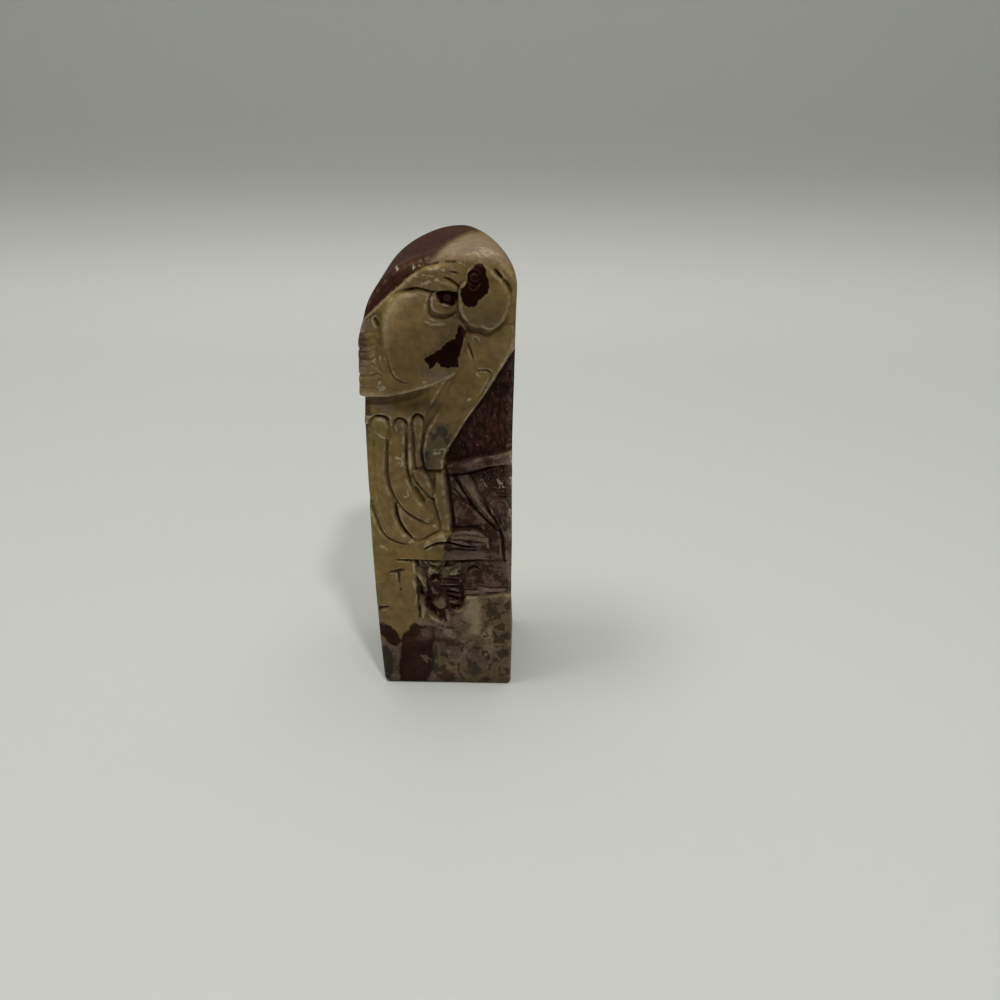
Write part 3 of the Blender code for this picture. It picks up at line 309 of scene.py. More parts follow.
def carve_wing(face):
    """Long folded feathers that hang from under the cape to the perch, each a rounded lobe."""
    crests = FEATHER_CUT / MM
    wing_foot = flowing([(-5.5, 56.9), (-10.6, 55.4), (-15.6, 56.2), (-19.2, 58.8), (-21.6, 65.2),
        (-24.5, 75)])
    wing = np.vstack([CAPE_LIP, CHEST_BACK, LEG_BACK, wing_foot])
    towards_chest = 1.0 - 0.85 * ease((face.across + 8) / 8) * ease((face.up - 96) / 8)
    towards_foot = 0.3 + 0.7 * ease((face.up - 54) / 16)
    face.lower(wing, 0.7 + crests, 1, towards_chest * towards_foot)
    arches = flowing([(-4.5, 98.4), (-5.2, 100), (-6.8, 100.5), (-8.3, 99.4), (-9, 97.2), (-9.6, 96.8),
        (-10.3, 98.2), (-12.1, 98.9), (-13.8, 98.1), (-14.6, 96.4), (-15.2, 96.8), (-16, 99),
        (-18.5, 99.8), (-20.5, 99.2), (-21.7, 97.4)])
    coverts = np.vstack([CAPE_LIP[:-6], [(-3.9, 101)], arches, [(-24.5, 97)]])
    face.lower(coverts, -0.9 * crests, 0.6)
    for left, top, right in ((-21.4, 99.4, -15.4), (-14.2, 98.6, -10.2), (-8.6, 99.9, -4.7)):
        middle = 0.5 * (left + right)
        face.cut([(left, top - 1.6), (left + 1, top - 0.2), (middle, top + 0.2), (right - 0.8, top - 0.2),
            (right, top - 1.4)], 0.9, 0.8)
    under = np.interp(face.across, CAPE_LIP[:, 0], CAPE_LIP[:, 1]) - face.up
    shadow_step = ease(under / 0.8 + 0.4) * (1.0 - ease((under - 1) / 5))
    shadow_step *= 1.0 - ease((face.across + 6) / 12)
    face.depth += 0.6 * UNDER_CAPE / MM * shadow_step
    outer = loop([(-25, 98), (-19, 99.8), (-15.8, 97.2), (-16.7, 91), (-17.4, 82), (-17, 76.4),
        (-15.6, 70.4), (-15, 65.8), (-13.8, 61.4), (-11.6, 58.4), (-8.8, 56), (-12, 55.4), (-15.6, 56.4),
        (-19, 59), (-21.2, 65), (-22.7, 71), (-25, 79)])
    second = loop([(-14.4, 97.2), (-12.2, 98.9), (-10.2, 97.2), (-10.6, 90), (-10.8, 84), (-10.3, 78.6),
        (-9.2, 74.8), (-7.2, 71.2), (-4.6, 67.4), (-2.6, 64.6), (-4.8, 62.8), (-8.5, 64.4), (-11, 66.1),
        (-13, 68.4), (-14.8, 72), (-16.3, 76.5), (-16.6, 82), (-16.2, 90)])
    third = loop([(-14.2, 69.6), (-12.6, 67.2), (-10.6, 65.2), (-8, 63.5), (-4.6, 62.1), (-2.2, 62.4),
        (-1.2, 59.8), (-5, 57.6), (-8.6, 57), (-11, 59.2), (-13.1, 62.4), (-14.2, 65.6)])
    inner_left = loop([(-9.9, 96.6), (-9.1, 97), (-8.7, 93), (-8.8, 87), (-8.8, 82), (-9.6, 79),
        (-10.4, 82.4), (-10.3, 89.4)])
    inner_right = loop([(-8.3, 97.6), (-6.7, 100), (-5, 97.6), (-5.4, 91.4), (-6, 87), (-5.3, 83),
        (-7.4, 81.4), (-8.1, 85.4), (-8, 92)])
    blade = loop([(-9.3, 81.4), (-7.7, 77.2), (-5.4, 74), (-3, 71.4), (-1.9, 73), (-2.9, 76.6),
        (-4.4, 79.8), (-6.4, 81.4)])
    first_scale = loop([(-20.6, 99), (-16.8, 99.2), (-14.9, 97), (-15, 94), (-16.4, 91.8), (-18.6, 92.8),
        (-20.4, 95.2)])
    second_scale = loop([(-14, 97.4), (-12.2, 98.8), (-10.2, 97.2), (-10, 95.2), (-11.6, 93.8),
        (-13.6, 94.8)])
    for lobe, rise, shoulder in ((outer, 1.1, 2.6), (second, 1.1, 2.6), (third, 0.6, 2.2),
            (inner_left, 0.8, 0.9), (inner_right, 0.9, 1.3), (blade, 1.2, 1.6), (first_scale, 0.5, 1),
            (second_scale, 0.5, 0.9)):
        face.swell(lobe, rise * crests, shoulder)
    for stroke, width, depth in (([(-16.4, 91.6), (-16.8, 85), (-17.1, 79), (-16.2, 74.2), (-14.9, 70.8),
            (-12.6, 67.4)], 0.9, 0.5), ([(-15, 69.6), (-14.7, 65.6), (-13.6, 62), (-11.6, 58.9),
            (-9.4, 56.6)], 1.2, 1.1), ([(-12.6, 67.6), (-9.4, 65), (-5.4, 63)], 0.8, 0.4), ([(-10.5, 94),
            (-10.7, 88), (-10.8, 83), (-10.2, 78.2), (-9.2, 74.9)], 0.9, 0.7), ([(-8.5, 75.4),
            (-7.4, 72.4), (-5.6, 69.4)], 1.8, 1.1), ([(-8.5, 94), (-8.4, 88), (-8.1, 82)], 0.7, 0.5),
            ([(-5.2, 93.6), (-5.4, 89.6), (-5.8, 86.6), (-4.8, 82.4)], 0.8, 0.6), ([(-4, 79.4),
            (-2.8, 75.6), (-2, 72.8)], 0.8, 0.5), ([(-8.4, 77.4), (-6, 74), (-3.2, 71.2),
            (-2.4, 70.2)], 0.9, 0.6), ([(-20.2, 96), (-20.7, 85), (-20.4, 75), (-18.6, 65),
            (-15, 59.4)], 1, 0.25), ([(-22.6, 70.5), (-21.3, 64.6), (-19.1, 58.9), (-15.6, 56.4),
            (-11, 55)], 0.7, 0.5)):
        face.cut(stroke, width, depth * crests)


def carve_chest_and_leg(face):
    """Throat, chest and thigh in one long sweep, and one thin leg gripping the perch."""
    body = np.vstack([CHEST_EDGE[2:], CHEST_BACK[::-1], flowing([(6.6, 117), (8.6, 123), (9, 130)]),
        [(14, 128.6), (22.6, 129)]])
    face.lower(body, 0.7, 2.4)
    face.swell(body, 1.1, 5.5)
    face.cut([(-5.4, 81.8), (-2, 81.3), (1.4, 81.6)], 1.1, 1.5)
    leg = np.vstack([LEG_FRONT, LEG_BACK[::-1]])
    face.lower(leg, 1.4, 0.7)
    face.swell(leg, 0.9, 1.6)
    face.furrow([(-1.9, 79.8), (-2.7, 71.4), (-1.5, 65.6), (-0.5, 60)], 0.8, 0.9)
    face.cut([(1.9, 81.6), (2.2, 75), (2.9, 67), (3.4, 59.8)], 1.5, 1.5)
    near_claw = loop([(0.2, 59.6), (-2.6, 59), (-5, 57.2), (-6.4, 54.6), (-4.6, 54.8), (-1.5, 56.4),
        (1.5, 56.6)])
    far_claws = loop([(2.2, 59.2), (5, 60.3), (9, 60.4), (12.8, 59.6), (14.8, 57.6), (13.6, 55.6),
        (8, 54.8), (3, 56)])
    face.lower(near_claw, -0.2, 0.7)
    face.swell(near_claw, 0.9, 1.6)
    face.lower(far_claws, 0.4, 0.8)
    face.swell(far_claws, 1.1, 2.2)
    for stroke, width, depth in (([(3.6, 58.8), (8, 59.2), (13.2, 58.3)], 0.7, 0.6), ([(3.4, 57.4),
            (6, 57.6), (8.6, 56.8), (13.6, 56.6)], 0.7, 0.6), ([(5.4, 60.2), (9, 60.5),
            (12.8, 59.8)], 0.7, 0.7), ([(-6.2, 57), (-5, 57.9), (-2.6, 59.3), (-0.8, 59.9)], 0.8, 0.6),
            ([(-5.9, 53.6), (-3.5, 55.2), (0, 56.1), (4, 55.5), (7.6, 54.6), (11, 54.3)], 1, 1.4),
            ([(11.3, 115), (14.2, 115.1), (15.8, 114.2), (15.6, 112), (13.6, 108.2),
            (11.8, 105.2)], 0.7, 0.7), ([(12.4, 113.8), (11.8, 112.6)], 0.9, -0.4), ([(8.8, 109),
            (8.7, 106.4)], 0.8, 0.3), ([(11.2, 125), (11.9, 123.6)], 0.9, 0.5)):
        face.cut(stroke, width, depth)


def carve_head(face):
    """Bowed head with a brow, a round cheek, and a big hooked beak that curls in to the right."""
    throat = flowing([(5.4, 113.4), (7.4, 118), (8.6, 124), (8.8, 130)])
    head = np.vstack([CAPE_LIP, throat, BEAK_LINE[20:], [(24.5, 138), (24.5, 152), (-24.5, 152)]])
    face.lower(head, -0.5, 1.2)
    cheek = loop([(-5.5, 138.2), (-10, 138.2), (-13.8, 136), (-15.6, 131), (-16, 124), (-15.4, 118),
        (-13.6, 113.4), (-10.6, 110.6), (-5, 110.8), (1, 112.8), (5.4, 116), (8, 121), (8.8, 128),
        (5, 131.2), (-1.4, 131.2), (-2.6, 135)])
    face.swell(cheek, 1.2, 7)
    cheek_back = [(-3.6, 138.7), (-9, 139), (-14.2, 136.8), (-16.4, 131), (-16.7, 124), (-16, 118)]
    face.furrow(cheek_back, 1.2, 0.5)
    cheek_ridge = [(-4.8, 138), (-8.5, 137.4), (-11.6, 135.8), (-13.8, 132.4), (-14.8, 128.4), (-15, 123)]
    face.cut(cheek_ridge, 2.8, -0.8)
    beak_front = flowing([(21.9, 137), (20.6, 140.4), (18.2, 143.4), (16.4, 145.6), (13, 147.2),
        (9.2, 145.2)])
    face.swell(np.vstack([BEAK_LINE, beak_front]), 1.5, 5)
    face.cut(BEAK_LINE + (0.6, 0.9), 0.9, -0.45)
    face.cut(BEAK_LINE[22:] - (0.2, 1.1), 2.4, 0.7)
    socket = loop([(-1.7, 137.6), (0.4, 138.7), (6.2, 138.5), (6.4, 134), (4.2, 131.6), (0, 131.2),
        (-2, 133.6)])
    eye = loop([(0.1, 138.1), (2.4, 138.7), (6.2, 138.2), (6.3, 136), (5, 134.2), (3.2, 134.8),
        (0.8, 135.4)])
    pupil = loop([(1.9, 136.8), (3, 138), (4.6, 137.2), (4.2, 135.6), (2.8, 135.4)])
    face.lower(socket, 0.5, 1)
    face.lower(eye, 1, 0.6)
    face.swell(pupil, 0.8, 1.3)
    nostril = [(11.3 + 1.7 * np.cos(a), 143.1 + 1.7 * np.sin(a)) for a in np.arange(0.4, 6.4, 0.6)]
    for stroke, width, depth in (([(8.6, 142.4), (7, 140.4), (6.3, 137), (6.4, 133.6)], 0.9, 0.8),
            ([(6.5, 134.2), (6, 132.6), (7.6, 130.4)], 1.6, 0.3), ([(16.9, 145.2), (18.2, 143.7),
            (19.2, 142.6)], 1.1, 1.2), ([(19.2, 142.4), (20.6, 141), (21.9, 138.2)], 1.3, 0.9),
            ([(21, 134.2), (21.9, 136.6), (21.4, 138.6)], 0.8, 0.4), ([(-8.9, 138.9), (-5, 139.4),
            (-2.2, 138.7), (0, 138.5)], 0.8, 1.1), ([(-8.9, 138.9), (-5, 139.5), (-1.4, 138.6), (3, 138.9),
            (6.4, 138.5)], 1.9, 0.5), ([(2.6, 142.8), (3.9, 142.4), (5.2, 141.6), (6.8, 140)], 0.9, 1.1),
            ([(1, 141.6), (4, 140.6), (6.6, 139.2)], 1.2, -0.4), ([(1, 143.9), (3.4, 143.4),
            (5.8, 142.2)], 1, -0.4), ([(4.2, 144.4), (5.4, 144.3), (6.8, 143.9)], 0.7, 0.8),
            ([(-6.4, 143.6), (-3, 142.6), (0.6, 143.4)], 1.4, -0.3), ([(7, 147.2), (8.6, 147.8),
            (8.4, 146)], 1, -0.4), ([(-1, 137.4), (-1.1, 135.4), (-0.6, 133.4), (1.4, 132.4), (4, 132.6),
            (5.8, 133.6)], 1, -0.6), ([(0.6, 134.7), (2.4, 133.9), (4.4, 133.6)], 0.7, 0.4),
            ([(-0.7, 138.4), (-1.6, 137), (-2.1, 134.4), (-1.8, 132.2), (-0.6, 131.1), (1.9, 130.8),
            (4.4, 131.5), (6.1, 132.8)], 0.7, 0.9), ([(-3.4, 130.2), (-1, 129.4), (2.4, 129.4),
            (5, 130.4)], 1, -0.35), (nostril, 0.7, 0.6), ([(9.4, 140.6), (11.2, 139.6),
            (13.2, 141.4)], 0.8, -0.3), ([(9, 123.4), (10, 120.8), (10.8, 118.2)], 0.8, 0.9),
            ([(-15.4, 121), (-14.7, 118), (-14, 114.8), (-12.8, 112.6), (-10.6, 111.4),
            (-8, 110.9)], 0.7, 0.6), ([(-5, 119), (-4.8, 116), (-4.2, 112.9)], 1.2, 0.3), ([(-3.6, 126.6),
            (-3.2, 124.2), (-3.5, 121.4)], 0.9, 0.25)):
        face.cut(stroke, width, depth)


def carve_crown(face):
    """A raised roll along the brow line, above which the stone rounds over into its top."""
    face.cut(CROWN_LINE[5:36] - (0, 1), 2.2, -0.5)
    line = np.interp(face.across, CROWN_LINE[:, 0], CROWN_LINE[:, 1])
    room = np.maximum(crown_height(face.across, 0) - line, 0.5)
    share = np.clip((face.up - line) / room, 0, 1)
    face.depth += CROWN_ROUND / MM * (1.0 - np.sqrt(1.0 - (0.97 * share) ** 2))
    face.depth += 0.8 * ease((face.up - line) / 0.7 + 0.5) * (1.0 - ease((face.across - 2) / 5))


def carve_cape(face):
    """Neck feathers in short rows at the outer edge of the cape, over its thick rounded lip."""
    face.cut(CAPE_LIP + (0, 1.4), 1.8, -0.4)
    for row, start, reach in ((116.4, -20.6, 2.6), (118.6, -19.6, 2.4), (120.8, -20.2, 3.4),
            (122.8, -19, 2.6), (124.6, -20.4, 3.2), (126.4, -21.4, 3.8)):
        face.cut([(start - 3.4, row - 0.2), (start, row - 0.3), (start + 0.5 * reach, row + 0.5),
            (start + reach, row - 0.6)], 0.7, 0.35)
    for lean in (0, 1.1, 2.2):
        face.cut([(-21.8 + lean, 128.4 + 0.5 * lean), (-20.6 + lean, 130.2 + 0.6 * lean),
            (-18.6 + lean, 131.6 + 0.7 * lean)], 0.7, 0.4)
    for stroke, width, depth in (([(-24, 112.9), (-20, 113.2), (-18, 113.9), (-16.6, 113)], 0.7, 0.5),
            ([(-24, 109.3), (-21, 109.2), (-19.4, 109.3)], 0.7, 0.3), ([(-17, 112.4),
            (-18.4, 110.6)], 0.7, 0.4), ([(-18.6, 109.9), (-17.2, 108.2)], 0.6, 0.3), ([(-17, 110.2),
            (-18.2, 108.6)], 0.6, 0.3), ([(-18.2, 126), (-17.4, 122.6), (-17.8, 118),
            (-17, 114.6)], 1.1, 0.4), ([(-16.6, 116.6), (-15.8, 115)], 0.8, -0.3), ([(-17.9, 131),
            (-17.4, 129.6), (-17, 128)], 1, 1)):
        face.cut(stroke, width, depth)


def carve_perch_and_rock(face):
    """A ledge under the claws, stepped rock below it, and the uncut foot of the stone."""
    rock = np.array([(-9.4, 49.4), (0, 49.2), (12, 49.8), (26, 49.8), (26, 36.4), (18, 36.8), (14, 35.8),
        (7.4, 35.4), (6, 33), (-8.8, 33), (-9, 40)])
    low_rock = loop([(-9, 36), (6, 36), (6.4, 30), (1.5, 26.4), (-4, 27), (-8.6, 28.4)])
    face.lower(rock, 0.8, 0.9)
    face.lower(low_rock, 0.6, 4)
    hollow = np.array([(-5.6, 38.6), (-5.2, 41.4), (-3.6, 43.6), (-1.2, 43.6), (-0.6, 42.2), (4.8, 42),
        (6.2, 39), (6.4, 33.4), (4.6, 29.6), (1.6, 30.4), (0.2, 27.8), (-1.4, 25.6), (-4.2, 27),
        (-6.4, 31), (-5.8, 35)])
    face.lower(hollow, 0.9, 0.8)
    blocks = (([(-9.2, 44), (-8, 45), (-5.8, 41), (-5.6, 38.8), (-6.6, 38.4)], 0.9), ([(-6, 44.4),
        (-4.6, 46.6), (-1.8, 46.2), (-1.6, 44.2), (-3.4, 44), (-5, 42.4)], 0.9), ([(-4.4, 48.8),
        (-4.2, 47.4), (-2.2, 46.8), (-0.6, 48), (-1.2, 49)], 0.7), ([(0.2, 46), (1.8, 47.8), (4.2, 48.2),
        (3.4, 46.6), (1.4, 45.2)], 0.7), ([(1.6, 44.6), (3.8, 46.4), (5, 45.8), (4.2, 43.6),
        (2.2, 43.4)], 0.6), ([(-4.6, 37.8), (-2.8, 38.2), (-1.6, 35.6), (-3, 35), (-4.4, 35.6)], 0.7),
        ([(-4.2, 33), (-1.8, 33.8), (0.2, 33), (0, 30.4), (-1.8, 29.8), (-3.4, 31)], 0.9), ([(-0.6, 29.6),
        (1.4, 29.6), (2.4, 26.4), (1.2, 25.4), (0.4, 26.8)], 0.7), ([(-8.2, 34.2), (-6.4, 34.2),
        (-6.2, 29), (-7.4, 26.6), (-8, 29)], 0.6), ([(-1.6, 38.6), (5.6, 38.6), (5.8, 41.6),
        (-0.8, 41.8)], 0.5), ([(0, 36.8), (5.8, 36.2), (6, 38), (-0.6, 38.2)], 0.6), ([(0.6, 34.6),
        (5.6, 33.8), (6, 35.6), (0.4, 36.2)], 0.6), ([(1.4, 32.4), (5.8, 31.2), (6.2, 33.2),
        (1, 34)], 0.5), ([(6.8, 36), (11.2, 36), (11, 37.6), (6.8, 37.4)], 0.4), ([(12.6, 36.8),
        (20.8, 37.4), (20.6, 38.8), (12, 38.8)], 0.4))
    for block, height in blocks:
        face.swell(np.array(block), height, 0.9)
    for stroke, width, depth in (([(-15.8, 49.4), (-11, 49.2), (-5, 48.8), (0, 49.1)], 0.7, 0.9),
            ([(1, 49), (6, 48.8), (9.6, 49.1), (12.4, 49.9)], 0.9, 0.8), ([(0.4, 46.8), (1.4, 48.4),
            (2, 49)], 1.2, 0.8), ([(1.4, 53.4), (5, 53.8), (8, 53.3), (11.6, 53.6)], 0.8, 0.8),
            ([(-9.3, 49), (-8.4, 47.6), (-9.2, 45.8)], 1.3, 1), ([(-7.6, 48.4), (-5.8, 46.2), (-6.4, 44),
            (-5.6, 41.6)], 1.5, 1.2), ([(-5.6, 48.6), (-4.4, 47), (-1.4, 45.4), (-0.6, 44.4)], 1, 0.7),
            ([(-9.2, 42.6), (-8.5, 39.8), (-8, 37.4), (-7.2, 35)], 1.7, 1.6), ([(-8.6, 35.6), (-8.8, 32),
            (-8.4, 29), (-9.2, 26.4)], 1, 1), ([(-5.9, 33.8), (-5.2, 31.6), (-4, 29.6),
            (-3.2, 27)], 1.8, 1.2), ([(-4, 40.8), (-2.8, 42.6), (-1.8, 40.6)], 1.4, 0.8), ([(-1.6, 38.7),
            (2, 38.6), (5, 38.9)], 0.8, 0.9), ([(0.6, 36.9), (2.8, 36.3), (4.6, 35.8)], 0.8, 0.9),
            ([(0.8, 34.8), (2.6, 34.3), (4.8, 33.4)], 1, 1), ([(2.6, 31), (4.2, 30.4),
            (5.6, 30.6)], 0.9, 0.9), ([(-0.6, 30), (0.2, 29.6), (1, 30.4)], 1, 0.6), ([(7.8, 44.9),
            (8.9, 46.4), (10.2, 46.8), (11.6, 46.2)], 1, 1), ([(4.6, 45.4), (5.2, 44.4)], 0.9, 0.9),
            ([(9, 43.8), (10.8, 43.6)], 0.7, 0.5), ([(16.4, 46.4), (20.4, 46.3)], 0.6, 0.4), ([(6.8, 37.9),
            (9, 37.7), (11.2, 37.8)], 0.8, 0.8), ([(6.8, 35.8), (9, 35.7), (11.6, 35.9)], 0.8, 0.8),
            ([(10.6, 39.6), (13.2, 39.2), (16, 38.6), (20.8, 39)], 0.8, 0.7), ([(13.6, 36.8), (16, 36.5),
            (18.6, 37)], 0.8, 0.7), ([(-18, 44.6), (-15.5, 45.2), (-13.4, 46.1)], 0.8, 0.7),
            ([(-14.8, 45.8), (-14.9, 43), (-14.6, 39.4)], 0.7, 0.6), ([(-14.6, 38.8),
            (-14.4, 37.8)], 0.9, 0.4), ([(-23.4, 29.9), (-21, 30.6), (-18.8, 31.2)], 0.9, 0.9)):
        face.cut(stroke, width, depth)


def carve_front(across, up):
    face = Face(across, up)
    carve_background(face)
    carve_wing(face)
    carve_chest_and_leg(face)
    carve_head(face)
    carve_cape(face)
    carve_crown(face)
    carve_perch_and_rock(face)
    return face


# The other faces, plainer

def carve_cape_round(face, ends, out):
    """The cape carried round a face: it stands out over the wing, with rows of rounded feathers."""
    left, right = ends
    face.depth -= out * ease((face.up - 106) / 0.9) * (1.0 - ease((face.up - 123) / 8))
    feather = 5.0
    for i, row in enumerate((109.4, 113.2, 117.2, 121.2, 125.2)):
        start = left + feather * (0.5 if i % 2 else 0)
        for middle in np.arange(start, right + feather, feather):
            tip = [(middle + feather * turn, row + rise) for turn, rise in ((-0.5, 1.2), (-0.25, 0.2),
                (0, 0), (0.25, 0.2), (0.5, 1.2))]
            face.cut(tip, 0.9, 0.4)


def carve_long_feathers(face, middles, drift):
    """Long folded feathers hanging from the cape, drawn in towards the tail."""
    for middle in middles:
        face.furrow([(middle, 103), (middle * 1.02, 90), (middle * 0.96 + 0.4 * drift, 74),
            (middle * 0.7 + drift, 60)], 1.1, FEATHER_CUT / MM)


def carve_left(across, up):
    """The left face, read from front (-20) to back (20)."""
    face = Face(across, up)
    carve_cape_round(face, (-26, 26), CAPE_STANDS_OUT / MM)
    carve_long_feathers(face, (-13, -5, 3, 11), 2)
    face.cut([(-15, 50.2), (-4, 49.6), (8, 50.4), (24, 49.6)], 1.2, 0.7)
    face.cut([(-20, 30.4), (-15, 31.4), (-9, 30.2)], 1, 0.5)
    return face


def carve_back(across, up):
    """The back face: cape, folded wings and tail over the same ledge."""
    face = Face(across, up)
    carve_cape_round(face, (-26, 18), 0.5 * CAPE_STANDS_OUT / MM)
    wings = loop([(-25, 106), (18, 106), (19, 90), (15, 72), (6, 58), (-8, 58), (-18, 66), (-25, 76)])
    face.lower(wings, 0.8, 1.4)
    face.swell(wings, 0.6, 6)
    carve_long_feathers(face, (-16, -9.5, -3, 3.5, 10), 0)
    face.cut([(-24, 50), (-10, 49), (4, 50.2), (24, 49.4)], 1.2, 1)
    for left, right, height in ((-6, 4, 44), (2, 12, 41), (-14, -4, 38.6), (6, 18, 36.8)):
        face.cut([(left, height), (0.5 * (left + right), height + 0.6), (right, height - 0.4)], 1.1, 0.8)
    return face


def carve_right(across, up):
    """The right face, read from front (-20) to back (20): branch and rock run out into plain stone."""
    face = Face(across, up)
    face.cut([(-24, 89.4), (-12, 92), (0, 97)], 1, 0.6)
    face.cut([(-24, 84.4), (-12, 86.6), (-1, 90.6)], 1, 0.6)
    for left, right, height in ((-24, -8, 49.6), (-20, -4, 39), (-6, 10, 44), (0, 16, 36)):
        face.cut([(left, height), (0.5 * (left + right), height + 0.8), (right, height)], 1.1, 0.7)
    return face


# Fine relief: the hand-rubbed faces are slightly uneven, and the sunk ground and rock keep the marks of
# the tool. A geometry tree moves the skin along its normals, by noise that follows the masks.

WAVE_HEIGHT = 0.00008
WAVE_LENGTH = 7.0
TOOL_DEPTH = 0.00034
TOOL_WIDTH = 1.7


def rough_ground(across, up):
    """How roughly each spot of the front was left: 1 in the chiselled ground, 0 on rubbed faces."""
    face = Face(across, up)
    ground = np.vstack([CHEST_EDGE, LEG_FRONT, [(3.0, 60.0), (16.0, 50.0), (26, 50.0), (26, 123)]])
    face.lower(ground, 1.0, 1.5)
    rock = loop([(-9.0, 49.0), (24.0, 49.5), (24.0, 37.0), (7.0, 36.0), (5.5, 26.0), (-8.5, 26.5)])
    face.lower(rock, 0.8, 2.0)
    face.lower(loop([(12.5, 80.5), (21.5, 82.0), (21.5, 71.5), (13.0, 72.0)]), 1.2, 3.0)
    return face.depth


def relief_tree():
    tree = bpy.data.node_groups.new("tool marks", "GeometryNodeTree")
    sockets = tree.interface
    sockets.new_socket("Geometry", in_out="INPUT", socket_type="NodeSocketGeometry")
    names = ("Wave height", "Waves per metre", "Tool depth", "Marks per metre")
    for name in names:
        sockets.new_socket(name, in_out="INPUT", socket_type="NodeSocketFloat")
    sockets.new_socket("Material", in_out="INPUT", socket_type="NodeSocketMaterial")
    sockets.new_socket("Geometry", in_out="OUTPUT", socket_type="NodeSocketGeometry")
    add, link = tree.nodes.new, tree.links.new
    given, result = add("NodeGroupInput"), add("NodeGroupOutput")
    place = add("GeometryNodeInputPosition")
    normal = add("GeometryNodeInputNormal")

    def scaled_noise(scale_name, depth_name, detail):
        noise = add("ShaderNodeTexNoise")
        noise.inputs["Detail"].default_value = detail
        link(place.outputs[0], noise.inputs["Vector"])
        link(given.outputs[scale_name], noise.inputs["Scale"])
        middled = add("ShaderNodeMath")
        middled.operation = "SUBTRACT"
        middled.inputs[1].default_value = 0.5
        link(noise.outputs["Fac"], middled.inputs[0])
        sized = add("ShaderNodeMath")
        sized.operation = "MULTIPLY"
        link(middled.outputs[0], sized.inputs[0])
        link(given.outputs[depth_name], sized.inputs[1])
        return sized.outputs[0]

    waves = scaled_noise("Waves per metre", "Wave height", 1.0)
    marks = scaled_noise("Marks per metre", "Tool depth", 3.0)
    rough = add("GeometryNodeInputNamedAttribute")
    rough.inputs["Name"].default_value = "rough"
    masked = add("ShaderNodeMath")
    masked.operation = "MULTIPLY_ADD"
    link(marks, masked.inputs[0])
    link(rough.outputs["Attribute"], masked.inputs[1])
    link(waves, masked.inputs[2])
    offset = add("ShaderNodeVectorMath")
    offset.operation = "SCALE"
    link(normal.outputs[0], offset.inputs[0])
    link(masked.outputs[0], offset.inputs["Scale"])
    moved = add("GeometryNodeSetPosition")
    link(given.outputs["Geometry"], moved.inputs["Geometry"])
    link(offset.outputs[0], moved.inputs["Offset"])
    whole = add("GeometryNodeRealizeInstances")
    link(moved.outputs[0], whole.inputs[0])
    dressed = add("GeometryNodeSetMaterial")
    link(whole.outputs[0], dressed.inputs["Geometry"])
    link(given.outputs["Material"], dressed.inputs["Material"])
    link(dressed.outputs[0], result.inputs[0])
    return tree


# Where each colour of the stone lies, drawn on the front sheet in mm like the carving, and where light
# and shade are painted onto it. Each patch is kept as a distance to its outline, above 0 inside, and
# the material makes its edge ragged.

CROWN_RISE = 0.21            # the drawing's rise for each mm back, over the rounded top
OUT_OF_REACH = 60.0          # taken off a patch's distance on the faces behind, where it ends, in mm


def patch(outline, across, up):
    outline = np.array(outline, float)
    gap, _ = nearest(np.vstack([outline, outline[:1]]), across, up)
    return np.where(inside(outline, across, up), gap, -gap)


def patches(outlines, across, up):
    """Distance inside the nearest of a few outlines."""
    return np.max([patch(outline, across, up) for outline in outlines], axis=0)


def strokes(lines, across, up):
    """Distance to the nearest of a few thin lines, below 0 away from them."""
    return -np.min([nearest(np.array(line, float), across, up)[0] for line in lines], axis=0)


def painted_light_and_shade(across, up):
    """Painted light and shade: above 1 where a spot is painted lighter as if lit, below 1 where it is painted
    darker as if shaded.
    """
    # painted contact shadow: half as bright at the foot, back to full brightness 4 mm up
    tone = 1.0 - 0.5 * (1.0 - ease(up / 4))
    # soft spots of painted light (share above 1) and painted shade (share below 1): middle, height, reach, rise,
    # share
    for middle, height, reach, rise, share in ((-11.5, 133, 4.5, 4.5, 1.50), (-4, 145.6, 5, 2, 1.55),
            (4, 152.6, 4, 3, 1.25), (-5.5, 117.4, 9, 5, 0.68), (3, 131.6, 4, 4, 0.58),
            (13, 130, 7, 4.6, 0.64), (4, 122.6, 3.4, 3, 0.60), (-1, 126, 6, 5, 0.85),
            (-21, 119, 2, 6, 1.25), (-5, 103.4, 10, 2.6, 0.42), (2, 90, 7, 7, 0.66),
            (-4.6, 83, 2.4, 5, 0.45), (0, 71, 4, 8, 0.72), (11, 78.6, 7, 1.6, 0.42), (-9, 90, 4, 5, 0.85),
            (-10, 52.6, 8, 2.6, 1.22), (6, 53, 6, 1.4, 0.50), (1, 47.4, 5, 3, 0.46),
            (-6.6, 32, 2.4, 4, 0.60), (3.4, 29.6, 2.2, 2.6, 0.60), (-17, 8, 3, 9, 0.55),
            (-3, 10, 5, 8, 0.76), (12, 14, 8, 5, 0.76), (4, 38, 4, 2.4, 0.70), (2, 36.6, 4, 3, 0.75),
            (-20.6, 78, 2.2, 22, 1.20), (-12, 149, 5, 3.5, 1.30), (21.6, 86, 1.6, 7, 1.35),
            (9, 60, 7, 6, 0.78), (10, 66, 3, 3, 1.35), (0, 4.6, 3, 3, 1.35), (18.5, 109, 3, 5, 0.60),
            (20, 60, 2.5, 8, 0.75), (-7.6, 96, 3, 5, 0.80), (-13.4, 108.9, 4, 2, 0.72),
            (8.1, 112, 4, 6, 0.80), (17, 65, 2, 6, 1.30), (14, 61, 4, 5, 1.25)):
        nearness = np.exp(-((across - middle) / reach) ** 2 - ((up - height) / rise) ** 2)
        tone = tone * share ** nearness
    return tone


